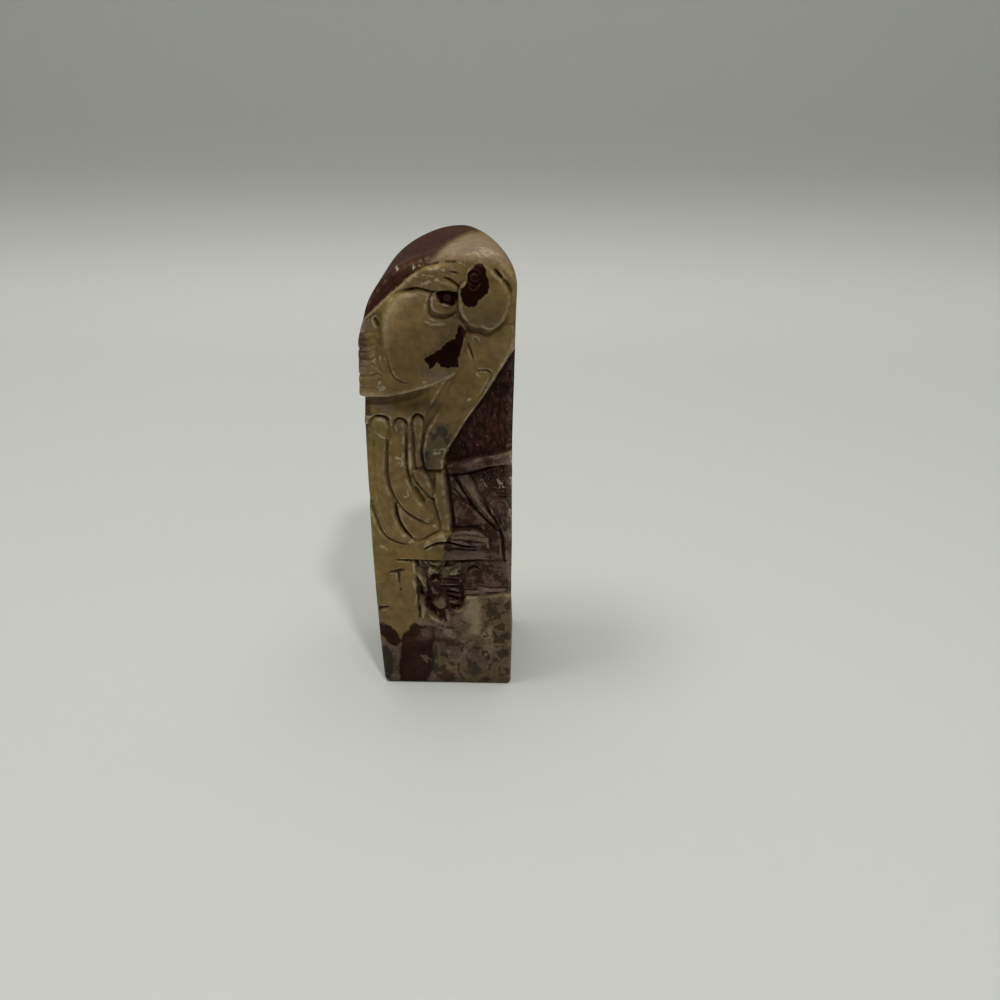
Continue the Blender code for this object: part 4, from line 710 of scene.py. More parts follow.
def colour_patches(across, back, up):
    drawn = up + CROWN_RISE * (back + 20) * ease((up - 120) / 15)
    behind = OUT_OF_REACH * ease((back + 12) / 6)

    crown = [(-40, 126), (-25, 127.6), (-21, 130.5), (-17, 134.2), (-13, 138), (-9, 141.7), (-5, 144.9),
        (-2.5, 146.4), (0, 148.2), (1.6, 150.4), (3.2, 152.2), (5.4, 154), (8.6, 155.4), (18, 157),
        (40, 160), (40, 200), (-40, 200)]
    panel = np.vstack([CHEST_EDGE + (0.4, 0), LEG_FRONT + (0.3, 0), [(1, 57), (0.4, 53), (0.4, 49.8),
        (5.4, 48.8), (5.6, 46), (4.8, 43.8), (0, 43), (-1, 44.4), (-3.6, 44.6), (-5.6, 42.2), (-6.4, 39.6),
        (-8.2, 38.6), (-8.6, 35), (-6.6, 34.4), (-6.2, 30.6), (-3.8, 27.6), (-1, 25.8), (0.8, 25.4),
        (1, 28.2), (2.6, 29.8), (6, 30.6), (7.4, 33.4), (7.4, 35.6), (14, 36), (20, 36.8), (40, 38),
        (40, 123)]])
    left_corner = [(-40, 25), (-22, 24.5), (-20, 24.2), (-18, 23), (-16, 20), (-15.3, 17.5), (-16.5, 15),
        (-19, 16), (-21.5, 19.5), (-40, 21)]
    foot = [(-14, 20.6), (-12.5, 21.5), (-11.4, 24.6), (-9, 24), (-5.5, 24), (-3.6, 22), (-3.2, 19),
        (-4.6, 15), (-4, 11), (-4.5, 6), (-6.4, 2), (-8, -2), (-16.4, -2), (-16.4, 6), (-15.6, 12),
        (-15, 17.5)]
    in_crown = patch(crown, across, drawn)
    crisp_crown = in_crown - 8.0 * ease((across + 3) / 4)
    brown = np.maximum(crisp_crown, patches((panel, left_corner, foot), across, up) - 0.07 * behind)

    cere = [(13.5, 147), (14.3, 146.1), (15, 143.5), (15.5, 140.9), (15.1, 138.9), (14.2, 137.7),
        (12.5, 136.9), (12.2, 135.4), (10.8, 134.7), (8.8, 134.8), (7.9, 135.9), (7.1, 138.3),
        (7.3, 139.7), (8.8, 140.9), (9.3, 142.3), (9.2, 144), (10.3, 145.5), (11.8, 146.9)]
    mouth = [(6.9, 129.7), (9, 127), (7.9, 124.6), (7, 121), (6.2, 118.2), (6.1, 115.9), (4.4, 116.4),
        (3.2, 115.8), (1.2, 116.4), (0.8, 117.5), (0, 117.9), (-1.2, 116.3), (-2.2, 115.7), (-2.4, 117),
        (-3.8, 118.6), (-3.3, 119.3), (-1, 120.5), (1, 121.9), (2.6, 123.6), (4.6, 124.8), (5.6, 125.2),
        (6, 127.5)]
    iris = loop([(0.2, 138), (2.4, 138.6), (6.1, 138.1), (6.2, 136), (5, 134.2), (3.2, 134.8), (1, 135.4)])
    mottled = [(-40, 24), (-22, 25.5), (-19, 24), (-17, 21), (-15.5, 18.5), (-14, 21), (-12.5, 21.5),
        (-11, 24.5), (-9, 26.4), (-7.6, 30), (-7, 33.4), (-4, 34), (0, 34), (2, 30), (6.6, 30),
        (7.4, 35.6), (14, 36.4), (20, 37.4), (40, 38.4), (40, -40), (-40, -40)]
    branch = [(2, 84), (9, 84.8), (13, 86), (26, 88.4), (26, 84.2), (13, 82), (2, 80.4)]
    leaves = np.vstack([LEG_FRONT + (0.6, 0), [(2, 50), (22.5, 50), (24, 80), (2, 79)]])
    # the upper leaf is painted lighter as painted light on its lit face
    lit_leaf = [(5.6, 79.6), (8.6, 80), (11, 75.4), (13.6, 70.4), (12.6, 68.6), (10.4, 71.2), (7.6, 75.4)]
    shelf = [(6.2, 49), (22, 49.4), (22, 38.4), (13, 37.4), (7, 38)]
    cloud = loop([(-10.4, 22), (-8, 23.6), (-5, 22.6), (-4.6, 19.4), (-7, 18.2), (-10, 18.8)])
    perch = [(0.6, 53), (5, 53.4), (12, 53.2), (15, 52.4), (14, 50.4), (7, 49.9), (0.8, 49.9)]
    far_toes = [(3, 58.8), (13, 58.6), (13.4, 57.6), (3, 57.9)]
    ledges = [(7.4, 37.6), (20, 38.6), (20.6, 36.8), (13.6, 36), (7.6, 35.9)]
    stone_in_hollow = [(-4, 33), (-2.2, 33.4), (-0.8, 34.4), (0.4, 33), (0.2, 30.4), (-1.6, 30),
        (-2.8, 31), (-3.9, 31.4)]
    tail_stone = [(-0.2, 29.4), (1, 29.8), (2.4, 28), (2.2, 25.8), (0.8, 25.2), (0.6, 27.2)]
    chin = [(-5, 116), (-1, 115.8), (5.6, 116.2), (5, 113.2), (0, 111.6), (-5, 111.8)]
    covert_band = [(-20, 103.4), (-15.2, 104), (-13.6, 101.4), (-16.4, 100.6), (-19.6, 101)]
    cape_rust = [(-25, 126.4), (-21.4, 126.6), (-20, 124), (-20.6, 120), (-20, 117.4), (-25, 116.8)]
    cape_low_rust = [(-25, 116.6), (-20.4, 116.4), (-19.8, 114.4), (-25, 114)]
    wing_rust = [(-25, 105.4), (-21.2, 105), (-20.8, 100), (-21.6, 96), (-22.4, 91), (-25, 90)]
    arches = [[(-14.4, 96), (-13.6, 98.6), (-11.6, 99.2), (-9.8, 98), (-9.8, 95.4), (-12.6, 94.8)],
        [(-20.6, 99), (-19, 100.2), (-15.8, 99.6), (-15.6, 98), (-18, 98.6)]]
    purple = [(-3.4, 23), (2, 23.6), (6, 21.4), (6.6, 17), (4, 13.4), (-1, 13), (-3, 16)]
    thigh_grey = [(-4.6, 92), (-1, 98), (3.6, 96.6), (4, 92), (1.6, 86), (0.6, 82.8), (-5.2, 82.8)]
    cape_back = [(-22.4, 131.6), (-18.2, 131.8), (-17.6, 129.6), (-18.6, 127.4), (-22.8, 127.6)]
    stones = [(-9.4, 48.9), (0.2, 48.9), (5.6, 48.6), (6, 43.6), (-1, 42.6), (-5.6, 38), (-8, 38),
        (-8.6, 27), (-6.6, 27), (-6.4, 36), (-9.2, 37)]
    # painted highlight on the cheek's upper-left rim, which faces the light
    painted_cheek_highlight = [(-4, 138.3), (-9, 138.2), (-12.6, 136.4), (-14.9, 132.4), (-15.8, 127), (-15.6, 121),
        (-14.2, 121), (-13.6, 127.6), (-12, 132.2), (-9, 135.2), (-4.6, 136.4)]
    olive = [(-40, 15), (-20, 15.4), (-18.4, 13), (-18.2, 8), (-19, 3), (-40, 1)]
    crown_tan = [(-3, 146.4), (1, 150), (4, 152.8), (8, 154.4), (13, 154.4), (18, 151.6), (22.4, 146),
        (16, 147.4), (8, 148.2), (2, 147.8)]
    pale = [(7.8, 35.2), (11.8, 34.6), (12.2, 30), (11.8, 25), (11.6, 20.4), (8.4, 20.6), (8.8, 24),
        (7, 26.5), (6.2, 29.4), (7.6, 31.6)]
    thigh_stains = [[(-1.6, 94), (-1.2, 96), (0.6, 98), (2.6, 97.4), (3.4, 94.8), (1.8, 92), (0.6, 94)],
        [(-2.6, 94.4), (-1.2, 94.8), (-0.6, 92.2), (-2.4, 91.4)], [(1.2, 93), (3.4, 93.8), (3, 90.6)],
        [(-6.4, 87.4), (-4.9, 89.2), (-2.8, 88), (-3.4, 86.4), (-4.4, 84), (-5.8, 83.6)], [(21, 117.6),
        (22.8, 117.4), (22.8, 111), (21.4, 112)]]
    foot_stains = [[(7.2, 8.4), (8.6, 10.4), (10.4, 9), (12.4, 5), (11.6, 3), (8.2, 3), (7.4, 5.4)],
        [(-3.8, 17), (-2.6, 13), (-3.4, 9), (-2.4, 5.4), (-4.2, 4), (-5.4, 8)], [(1, 10.8), (-0.6, 12.8),
        (-1.8, 13.6), (-0.8, 11.8)], [(15.8, 31.4), (17.4, 32.2), (17, 29.6), (15.8, 28.4)], [(20.2, 15.2),
        (21.8, 14.8), (21.4, 12.4), (20.4, 12.8)]]
    # bright band where the beak's top turns into the top of the stone: painted highlight, with scuffs
    scuff_and_highlight = [(10.2, 149.8), (13.2, 151.6), (16.6, 150.9), (19, 149.2), (15.4, 148.7), (12.1, 148.9)]

    veins = (((-23, 20), (-20.5, 16.6), (-18, 14.4), (-16.4, 12.6), (-16.8, 9), (-18, 6)), ((-16, 15.6),
        (-17, 13.8), (-18.2, 11.6)), ((-9.6, 25), (-6, 24.8), (-3, 23.8), (-0.4, 22.6)), ((-2.6, 25),
        (1, 24.2)), ((4.4, 8.6), (6.4, 13), (9.6, 17.6)), ((-4.2, 1), (-4, 6)), ((-2.4, 9.4), (-2.8, 16)),
        ((-4.2, 37.8), (-3, 35.8)), ((-1, 10.4), (1, 6.8), (3.6, 7)), ((2, 9.8), (4.6, 9.2)), ((5.4, 20.8),
        (8, 19.8)), ((13, 15.2), (18.6, 14.2)), ((15.6, 35.2), (18, 35.8)), ((-8.4, 11.4), (-6.6, 9)),
        ((-6.8, 11.2), (-5.2, 9.4)))
    # thin dark lines: cracks and streaks in the stone, and painted shade along cuts, beside the chest and under the
    # branch, claws and toes
    cracks_and_cut_shadows = (((-4.5, 151.4), (-4, 149.4), (-3, 147.2)), ((-5.8, 144.6), (-2.4, 146.2), (1, 146.9)),
        ((3.2, 147.2), (6, 147.3)), ((4.4, 8.4), (4.2, 5), (5.2, 3), (6.2, 1.5)), ((7.2, 10.8),
        (8.2, 8.4)), ((9.6, 9.6), (10.2, 6)), ((5.8, 15.4), (5.4, 13.4)), ((12.6, 13.6), (12.8, 11.6)),
        ((14.4, 12), (14.8, 10.6)), ((14.9, 7.6), (15, 6.2), (13.4, 5.4)), ((18.3, 7), (18.4, 4.4)),
        ((1.4, 8.4), (3, 8.2)), ((2.2, 9), (2.3, 7.4)), ((13.6, 21.8), (14.6, 20.2), (13, 19.6)),
        ((16.4, 22), (17.2, 19.6), (16.4, 17)), ((12.4, 31.6), (13.8, 31)), ((5.6, 25.8), (6.8, 25.2)),
        ((0.6, 23.4), (3.6, 22.8)), ((3.8, 21.6), (5.6, 20.6)), ((6.6, 16.6), (8.8, 18.4)), ((-10.4, 24.6),
        (-9, 23.8)), ((-4.6, 23.6), (-3.2, 22)), ((16.4, 110), (13.2, 105), (9.6, 99.4), (6.4, 94)),
        ((2.6, 80.6), (5, 80.8), (9.5, 81.4), (12, 82.2), (17.5, 83)), ((3, 85.2), (7.5, 85.8), (12.5, 87),
        (16.5, 88), (21, 87.9)), ((5, 79.4), (6.2, 77), (8.6, 73.6), (10.2, 70.6), (13, 67), (16, 63.4),
        (18.4, 60.4), (19.4, 56), (20, 50.2)), ((9, 80.2), (10.6, 77.2), (11.8, 73.6), (13.6, 70.6),
        (14.6, 68.6)), ((3.2, 75.4), (5, 73.6), (6.8, 72.2)), ((11, 69.4), (13.6, 66.4), (17.2, 61.4)),
        ((8.8, 70.8), (9.2, 68.8)), ((18.6, 65.4), (18.8, 62.4)), ((17.6, 73.2), (20.6, 73)), ((-8, 81.8),
        (-6, 82.6), (-3, 82.2), (0, 82.4)), ((-5.4, 87.4), (-5, 84.6), (-4.4, 83.2)), ((-10.8, 88),
        (-10.6, 84.6)), ((-5.4, 53.8), (-3.4, 55.4), (-0.8, 56), (2.8, 55.8), (6.4, 54.8), (10.8, 54.6)),
        ((1.8, 53.6), (4, 53.8), (7, 53.4), (10.6, 53.4)), ((4.4, 60.6), (6, 60.8), (9, 60.5)),
        ((3.4, 67.4), (3.8, 63.2)), ((8, 56.8), (13.2, 56.6)), ((-15.4, 49.6), (-12, 49.2), (-8.8, 49)),
        ((-8.6, 48.8), (-5, 48.8)), ((0.6, 49.2), (3, 49), (6.6, 49.4), (11.6, 49.8)), ((-9.3, 48.4),
        (-6.8, 45.8), (-4.2, 43.5)), ((-4.2, 43.5), (-0.8, 46.7), (3.1, 47.5), (5.1, 49)), ((-3.6, 48.6),
        (-2.2, 46.8)), ((-17.4, 44.9), (-15.4, 45.3), (-12.7, 45.9)), ((-15, 45.3), (-14.8, 43.4),
        (-14.8, 40.9)), ((-15.9, 44.8), (-13.3, 45.4)), ((-14.5, 45.2), (-14.5, 42.6)), ((-14.4, 38.2),
        (-14.4, 37.8)), ((-22.6, 30.6), (-20.4, 30.9)), ((-22.6, 31.1), (-19, 31.2)), ((-22.2, 30.9),
        (-21.5, 29.1)), ((7.7, 44.5), (8.7, 46.4), (11, 46.9), (12, 45.4)), ((-9.2, 38.6), (-8.6, 34.4)),
        ((-8.8, 30.4), (-8.2, 27.4)))
    # pale nicks: chips in the stone, and painted glints on the thigh's end and along the brow roll
    chips_and_glints = (((-13.8, 86), (-12.2, 85.2), (-12, 83.4)), ((-13, 84.4), (-11.6, 82.6)), ((-10.4, 74.8),
        (-10.6, 72.6), (-11.6, 72.2)), ((-19.8, 54.6), (-18.4, 53.4)), ((-10.6, 55.6), (-9.4, 57.8)),
        ((-2.4, 88.9), (-0.4, 89.2), (2, 89.2)), ((-1.8, 88), (0.2, 88.2)), ((1.6, 89), (1.9, 87.4),
        (0.6, 86.2)), ((0.3, 85.4), (0.8, 83.6)), ((-6, 145.6), (-4.2, 146)), ((-3, 143.4), (-1, 143)),
        ((-11.6, 145.6), (-11, 145)), ((-8.4, 150), (-7.4, 149.4)), ((-16.2, 92), (-15.2, 90.8)),
        ((-17.6, 111), (-16.2, 109.2)), ((-18, 109.4), (-16.6, 108.2)), ((11.6, 113.9), (12.6, 113.3)),
        ((-11.4, 127.4), (-11, 127)), ((-4.2, 111.6), (-3.6, 111.4)), ((9, 105.4), (9.6, 105.8)),
        ((21.2, 58.6), (22, 57.6)), ((15.8, 67), (16, 65.8)), ((21.8, 86.4), (22.2, 84.8)), ((-1.4, 144.9),
        (1, 145.4), (3.2, 144.6)), ((7, 147), (8.4, 146.4)), ((-3.6, 140.9), (1, 142)), ((-15, 53),
        (-14.6, 52.8)), ((22, 78.6), (22.2, 75)), ((21.6, 68), (22, 64)), ((17.4, 78), (19.6, 75.6)),
        ((18.2, 75.2), (19, 76.8)), ((12.8, 78), (14.4, 75.4)))
    # pale rims along the beak, cape lip, crown line, chest edge, lids, feathers, leg and rock: worn stone, and
    # painted highlight where they catch the light
    worn_and_highlit_edges = (((9.6, 129.2), (11.6, 128.5), (13.6, 128.8), (15.6, 127.7), (17.6, 128.7), (19.6, 130.8),
        (20.6, 133.2), (21.3, 135.8)), ((8.6, 141.2), (7.3, 138), (7.3, 134), (8.6, 130.8)),
        CAPE_LIP + (0, 0.7), ((-23.2, 127.4), (-20.2, 130.8), (-16.4, 134.6), (-12.6, 138.4)),
        ((23, 124.6), (20.8, 120), (17.4, 114), (14, 108.4)), ((-1.4, 137), (-1, 133.4), (0.2, 132.6)),
        ((-3.2, 129.6), (-1, 129.2), (2.6, 129.2)), ((-22.2, 69.4), (-20.6, 63.8)), ((-16, 76),
        (-14.4, 71.6), (-12.4, 68.4)), ((-8.2, 75.8), (-5.6, 73), (-3, 71.4), (-1.9, 72.8)), ((-15, 99),
        (-15, 95.2)), ((-9.3, 99), (-9.4, 96)), ((1.2, 78), (1.9, 70), (2.5, 63)), ((-8.3, 34), (-7.4, 30),
        (-7.8, 27.4)), ((-9, 44.6), (-6.4, 39.2)))
    flat = {"mouth": (mouth, iris, cere), "mottled": (mottled,), "pink": (branch, leaves, shelf, cloud),
        "light_pink": (lit_leaf, perch, far_toes, ledges, stone_in_hollow, tail_stone),
        "chin": (chin, covert_band), "rust": (cape_rust, wing_rust), "pale": (pale,),
        "stain": thigh_stains + foot_stains, "grey_pink": (cape_low_rust, cape_back),
        "grey": (thigh_grey,), "olive_stones": (stones,), "painted_cheek_highlight": (painted_cheek_highlight,),
        "arches": arches, "purple": (purple,)}
    found = {name: patches(outlines, across, up) - behind for name, outlines in flat.items()}
    found["mottled"] += behind
    found["brown"] = brown
    # painted light and shade, fading to none on the faces behind
    found["painted_light_and_shade"] = painted_light_and_shade(across, drawn) ** (1.0 - behind / OUT_OF_REACH)
    found["crown"] = in_crown
    found["soft_crown"] = np.minimum(in_crown, across + 5.0)
    found["crown_tan"] = patch(crown_tan, across, drawn)
    found["olive"] = patch(olive, across, up)
    found["scuff_and_highlight"] = patch(scuff_and_highlight, across, drawn) - behind
    edge = 20.9 + 0.9 * ease((up - 80.0) / 50.0)
    found["edge_strip"] = np.minimum(across - edge, np.minimum(np.minimum(118.0 - up, up - 37.0),
        -17.0 - back))
    for name, lines in (("veins", veins), ("cracks_and_cut_shadows", cracks_and_cut_shadows), ("chips_and_glints", chips_and_glints),
            ("worn_and_highlit_edges", worn_and_highlit_edges)):
        found[name] = strokes(lines, across, drawn) - behind
    return found


# The waxed stone itself

TAN = (0.222, 0.145, 0.042)


class Recipe:
    """Short names for the nodes of one material."""

    def __init__(self, name):
        self.material = bpy.data.materials.new(name)
        self.material.use_nodes = True
        self.nodes = self.material.node_tree.nodes
        self.links = self.material.node_tree.links
        self.shader = self.nodes["Principled BSDF"]

    def join(self, socket, value):
        if isinstance(value, bpy.types.NodeSocket):
            self.links.new(value, socket)
        else:
            socket.default_value = (*value, 1.0) if isinstance(value, tuple) else value

    def math(self, operation, first, second=0.0, third=0.0):
        node = self.nodes.new("ShaderNodeMath")
        node.operation = operation
        for socket, value in zip(node.inputs, (first, second, third)):
            self.join(socket, value)
        return node.outputs[0]

    def step(self, value, low, high):
        """0 below the low value, 1 above the high one."""
        node = self.nodes.new("ShaderNodeMapRange")
        node.interpolation_type = "SMOOTHSTEP"
        self.join(node.inputs["Value"], value)
        node.inputs["From Min"].default_value = low
        node.inputs["From Max"].default_value = high
        return node.outputs["Result"]

    def blend(self, amount, below, above, mode="MIX"):
        node = self.nodes.new("ShaderNodeMix")
        node.data_type = "RGBA"
        node.blend_type = mode
        self.join(node.inputs["Factor"], amount)
        self.join(node.inputs["A"], below)
        self.join(node.inputs["B"], above)
        return node.outputs["Result"]

    def attribute(self, name):
        node = self.nodes.new("ShaderNodeAttribute")
        node.attribute_name = name
        return node.outputs["Fac"]

    def noise(self, where, per_mm, detail=3.0, offset=0.0, stretch=(1.0, 1.0, 1.0)):
        moved = self.nodes.new("ShaderNodeMapping")
        moved.inputs["Location"].default_value = (offset, -offset, 0.5 * offset)
        moved.inputs["Scale"].default_value = stretch
        self.links.new(where, moved.inputs["Vector"])
        node = self.nodes.new("ShaderNodeTexNoise")
        node.inputs["Scale"].default_value = per_mm
        node.inputs["Detail"].default_value = detail
        self.links.new(moved.outputs[0], node.inputs["Vector"])
        return node.outputs["Fac"]


def stone_material():
    recipe = Recipe("soapstone")
    noise, step, blend, math_, attribute = recipe.noise, recipe.step, recipe.blend, recipe.math, recipe.attribute
    texture_place = recipe.nodes.new("ShaderNodeTexCoord")
    in_mm = recipe.nodes.new("ShaderNodeVectorMath")
    in_mm.operation = "SCALE"
    in_mm.inputs["Scale"].default_value = 1.0 / MM
    recipe.links.new(texture_place.outputs["Object"], in_mm.inputs[0])
    place = in_mm.outputs[0]

    cloud = noise(place, 0.05, 3.0, 11.0)
    blotch = noise(place, 0.20, 4.0, 37.0)
    fleck = noise(place, 0.8, 4.0, 5.0)
    grain = noise(place, 3.0, 3.0, 71.0)
    wander = math_("ADD", math_("MULTIPLY_ADD", fleck, 2.4, -1.2), math_("MULTIPLY_ADD", grain, 1.2, -0.6))

    def ragged(name, reach=1.0, soft=0.3):
        return step(math_("MULTIPLY_ADD", wander, reach, attribute(name)), -soft, soft)

    def weak(mask, share):
        return math_("MULTIPLY", mask, share)

    # Tan stone of the bird: olive to pinkish, in soft clouds with small flecks
    colour = blend(step(cloud, 0.40, 0.60), TAN, (0.212, 0.136, 0.054))
    colour = blend(weak(step(blotch, 0.48, 0.70), 0.8), colour, (0.270, 0.182, 0.062))
    colour = blend(weak(step(blotch, 0.46, 0.30), 0.7), colour, (0.150, 0.105, 0.030))
    colour = blend(weak(step(fleck, 0.54, 0.72), 0.45), colour, (0.150, 0.096, 0.034))
    for name, reach, soft, share, paint in (("chin", 2.4, 1.6, 0.7, (0.200, 0.145, 0.100)),
            ("crown_tan", 1.8, 1.8, 0.9, (0.275, 0.196, 0.126)),
            ("rust", 1.4, 1.2, 0.85, (0.072, 0.036, 0.026)),
            ("arches", 1.2, 0.8, 0.7, (0.120, 0.072, 0.042)),
            ("grey_pink", 2.2, 1.4, 0.7, (0.170, 0.120, 0.090)),
            ("grey", 1.4, 1.6, 0.6, (0.120, 0.098, 0.062)),
            # painted highlight on the cheek's upper rim
            ("painted_cheek_highlight", 1.2, 1.4, 0.75, (0.330, 0.245, 0.120)),
            ("olive_stones", 0.8, 0.4, 0.85, (0.135, 0.104, 0.056))):
        colour = blend(weak(ragged(name, reach, soft), share), colour, paint)

    # Mottled foot: olive-grey and pinkish, with pale veins and dark spots
    foot = blend(step(noise(place, 0.12, 3.0, 61.0), 0.44, 0.56), (0.150, 0.104, 0.050),
        (0.172, 0.110, 0.066))
    foot = blend(weak(ragged("purple", 2.0, 1.0), 0.8), foot, (0.105, 0.062, 0.046))
    foot = blend(weak(step(noise(place, 0.20, 6.0, 77.0), 0.50, 0.58), 0.75), foot, (0.105, 0.074, 0.036))
    foot = blend(weak(step(noise(place, 0.17, 6.0, 23.0), 0.57, 0.63), 0.8), foot, (0.270, 0.205, 0.120))
    foot = blend(weak(step(fleck, 0.52, 0.64), 0.45), foot, (0.085, 0.056, 0.028))
    foot = blend(weak(step(noise(place, 0.26, 6.0, 90.0), 0.56, 0.60), 0.9), foot, (0.045, 0.025, 0.010))
    foot = blend(ragged("olive", 1.2, 0.6), foot, (0.040, 0.032, 0.016))
    colour = blend(ragged("mottled", 1.2), colour, foot)

    # Red-brown stone: deepest in the sunk panel, redder in the crown, pinkish where it was rubbed
    soft_crown = step(math_("MULTIPLY_ADD", wander, 0.35, attribute("soft_crown")), -1.3, 1.1)
    is_brown = math_("MAXIMUM", ragged("brown", 0.9), soft_crown)
    streaks = noise(place, 0.9, 4.0, 52.0, (1.0, 1.0, 0.35))
    brown = blend(step(blotch, 0.38, 0.62), (0.026, 0.008, 0.004), (0.044, 0.016, 0.009))
    chiselled = math_("MULTIPLY", step(streaks, 0.50, 0.60), attribute("rough"))
    brown = blend(weak(chiselled, 0.8), brown, (0.088, 0.034, 0.022))
    chiselled = math_("MULTIPLY", step(streaks, 0.47, 0.38), attribute("rough"))
    brown = blend(weak(chiselled, 0.8), brown, (0.010, 0.003, 0.002))
    brown = blend(step(attribute("crown"), -1.0, 1.0), brown, blend(step(cloud, 0.42, 0.60),
        (0.052, 0.018, 0.010), (0.066, 0.028, 0.015)))
    brown = blend(weak(step(grain, 0.54, 0.72), 0.35), brown, (0.082, 0.044, 0.030))
    rubbed = weak(ragged("pink", 1.8, 1.4), 0.9)
    brown = blend(rubbed, brown, blend(step(blotch, 0.42, 0.60), (0.046, 0.024, 0.014),
        (0.150, 0.098, 0.068)))
    brown = blend(weak(step(fleck, 0.50, 0.60), 0.6), brown, (0.030, 0.012, 0.007))
    brown = blend(weak(ragged("light_pink", 1.0, 0.6), 0.9), brown, (0.175, 0.124, 0.082))
    specks = math_("MULTIPLY", step(noise(place, 1.1, 3.0, 15.0), 0.64, 0.70), attribute("rough"))
    brown = blend(weak(specks, 0.75), brown, (0.230, 0.165, 0.115))
    colour = blend(is_brown, colour, brown)
    colour = blend(ragged("edge_strip", 1.4, 0.9), colour, blend(step(blotch, 0.42, 0.58),
        (0.085, 0.064, 0.042), (0.200, 0.160, 0.112)))
    colour = blend(ragged("pale", 1.4, 1.1), colour, (0.290, 0.228, 0.130))
    vein = step(math_("MULTIPLY_ADD", wander, 0.8, attribute("veins")), -0.65, -0.20)
    colour = blend(weak(vein, 0.8), colour, (0.200, 0.140, 0.100))
    colour = blend(weak(ragged("stain", 1.6, 0.7), 0.9), colour, (0.044, 0.034, 0.022))

    # Pale wear and painted highlights on ridges and chips, near-black patches, painted shade in hollows, dust and
    # painted shade in cuts
    ridge = attribute("ridge")
    # narrow ridges turn pale: worn stone, and painted highlight where edges catch the light
    pale_wear_and_highlight = blend(is_brown, (0.420, 0.330, 0.190), (0.230, 0.160, 0.112))
    patchy = step(noise(place, 0.33, 3.0, 66.0), 0.42, 0.62)
    worn_and_highlit = math_("MULTIPLY", step(math_("MULTIPLY_ADD", fleck, 0.16, ridge), 0.10, 0.20),
        math_("MULTIPLY_ADD", patchy, 0.75, 0.10))
    colour = blend(worn_and_highlit, colour, pale_wear_and_highlight)
    # pale rims drawn along edges: worn stone and painted highlight
    rubbed_and_highlit_edge = step(math_("MULTIPLY_ADD", wander, 0.7, attribute("worn_and_highlit_edges")), -0.60, -0.05)
    colour = blend(weak(rubbed_and_highlit_edge, 0.6), colour, pale_wear_and_highlight)
    # painted highlight with scuffs along the top of the beak
    scuffed_and_highlit = math_("MULTIPLY", ragged("scuff_and_highlight", 1.4, 1.0), step(noise(place, 0.8, 5.0, 44.0), 0.44, 0.58))
    colour = blend(weak(scuffed_and_highlit, 0.85), colour, (0.480, 0.370, 0.240))
    # painted shade, with some dirt, darkens the wide hollows
    hollow = weak(step(attribute("hollow"), 0.05, 0.9), 0.6)
    colour = blend(hollow, colour, blend(is_brown, (0.070, 0.044, 0.014), (0.014, 0.005, 0.003)))
    # dark dust in the narrow knife cuts, deepened by painted shade of the cut walls
    broken = noise(place, 0.6, 3.0, 8.0)
    dust_and_cut_shade = step(math_("ADD", attribute("knife"), math_("MULTIPLY_ADD", broken, 1.6, -0.8)), 0.42, 0.95)
    colour = blend(weak(dust_and_cut_shade, 0.9), colour, blend(is_brown, (0.026, 0.015, 0.004), (0.008, 0.003, 0.002)))
    # cracks and streaks, and painted shade along cuts
    crack_and_cut_shadow = step(math_("MULTIPLY_ADD", wander, 0.4, attribute("cracks_and_cut_shadows")), -0.50, -0.15)
    colour = blend(weak(crack_and_cut_shadow, 0.85), colour, (0.030, 0.017, 0.007))
    # pale chips and painted glints
    chip_and_glint = step(math_("MULTIPLY_ADD", wander, 0.9, attribute("chips_and_glints")), -0.42, -0.10)
    colour = blend(weak(chip_and_glint, 0.95), colour, (0.430, 0.345, 0.220))
    # near-black patches, lighter on their ridges as worn stone and painted highlight
    near_black = ragged("mouth", 0.6, 0.12)
    colour = blend(near_black, colour, blend(step(ridge, 0.01, 0.14), (0.016, 0.0040, 0.0015),
        (0.058, 0.024, 0.020)))
    grit = noise(place, 0.45, 5.0, 19.0)
    # painted light and shade multiplies the colour, together with fine grit
    colour = blend(1.0, colour, math_("MULTIPLY", attribute("painted_light_and_shade"),
        math_("MULTIPLY_ADD", grit, 0.9, 0.55)), "MULTIPLY")
    recipe.join(recipe.shader.inputs["Base Color"], colour)

    gloss = math_("MULTIPLY_ADD", fleck, 0.22, 0.38)
    gloss = math_("MULTIPLY_ADD", attribute("rough"), 0.18, gloss)
    recipe.join(recipe.shader.inputs["Roughness"], math_("MULTIPLY_ADD", dust_and_cut_shade, 0.25, gloss))
    facing_up = recipe.nodes.new("ShaderNodeSeparateXYZ")
    recipe.links.new(recipe.nodes.new("ShaderNodeNewGeometry").outputs["Normal"], facing_up.inputs[0])
    dusty = step(facing_up.outputs["Z"], 0.35, 0.65)
    wax = math_("MULTIPLY_ADD", worn_and_highlit, 1.0, 0.24)
    matt = math_("MAXIMUM", math_("MAXIMUM", weak(near_black, 0.95), weak(dust_and_cut_shade, 0.8)), weak(is_brown, 0.6))
    matt = math_("MAXIMUM", matt, dusty)
    recipe.join(recipe.shader.inputs["Coat Weight"], math_("MULTIPLY", wax, math_("SUBTRACT", 1.0, matt)))
    recipe.shader.inputs["Coat Roughness"].default_value = 0.40
    recipe.shader.inputs["Specular IOR Level"].default_value = 0.02

    bump = recipe.nodes.new("ShaderNodeBump")
    bump.inputs["Strength"].default_value = 0.35
    bump.inputs["Distance"].default_value = 0.0002
    height = math_("MULTIPLY_ADD", grain, 0.6, math_("MULTIPLY", noise(place, 9.0, 2.0, 3.0), 0.3))
    recipe.links.new(height, bump.inputs["Height"])
    recipe.links.new(bump.outputs[0], recipe.shader.inputs["Normal"])
    return recipe.material


# Making the stone

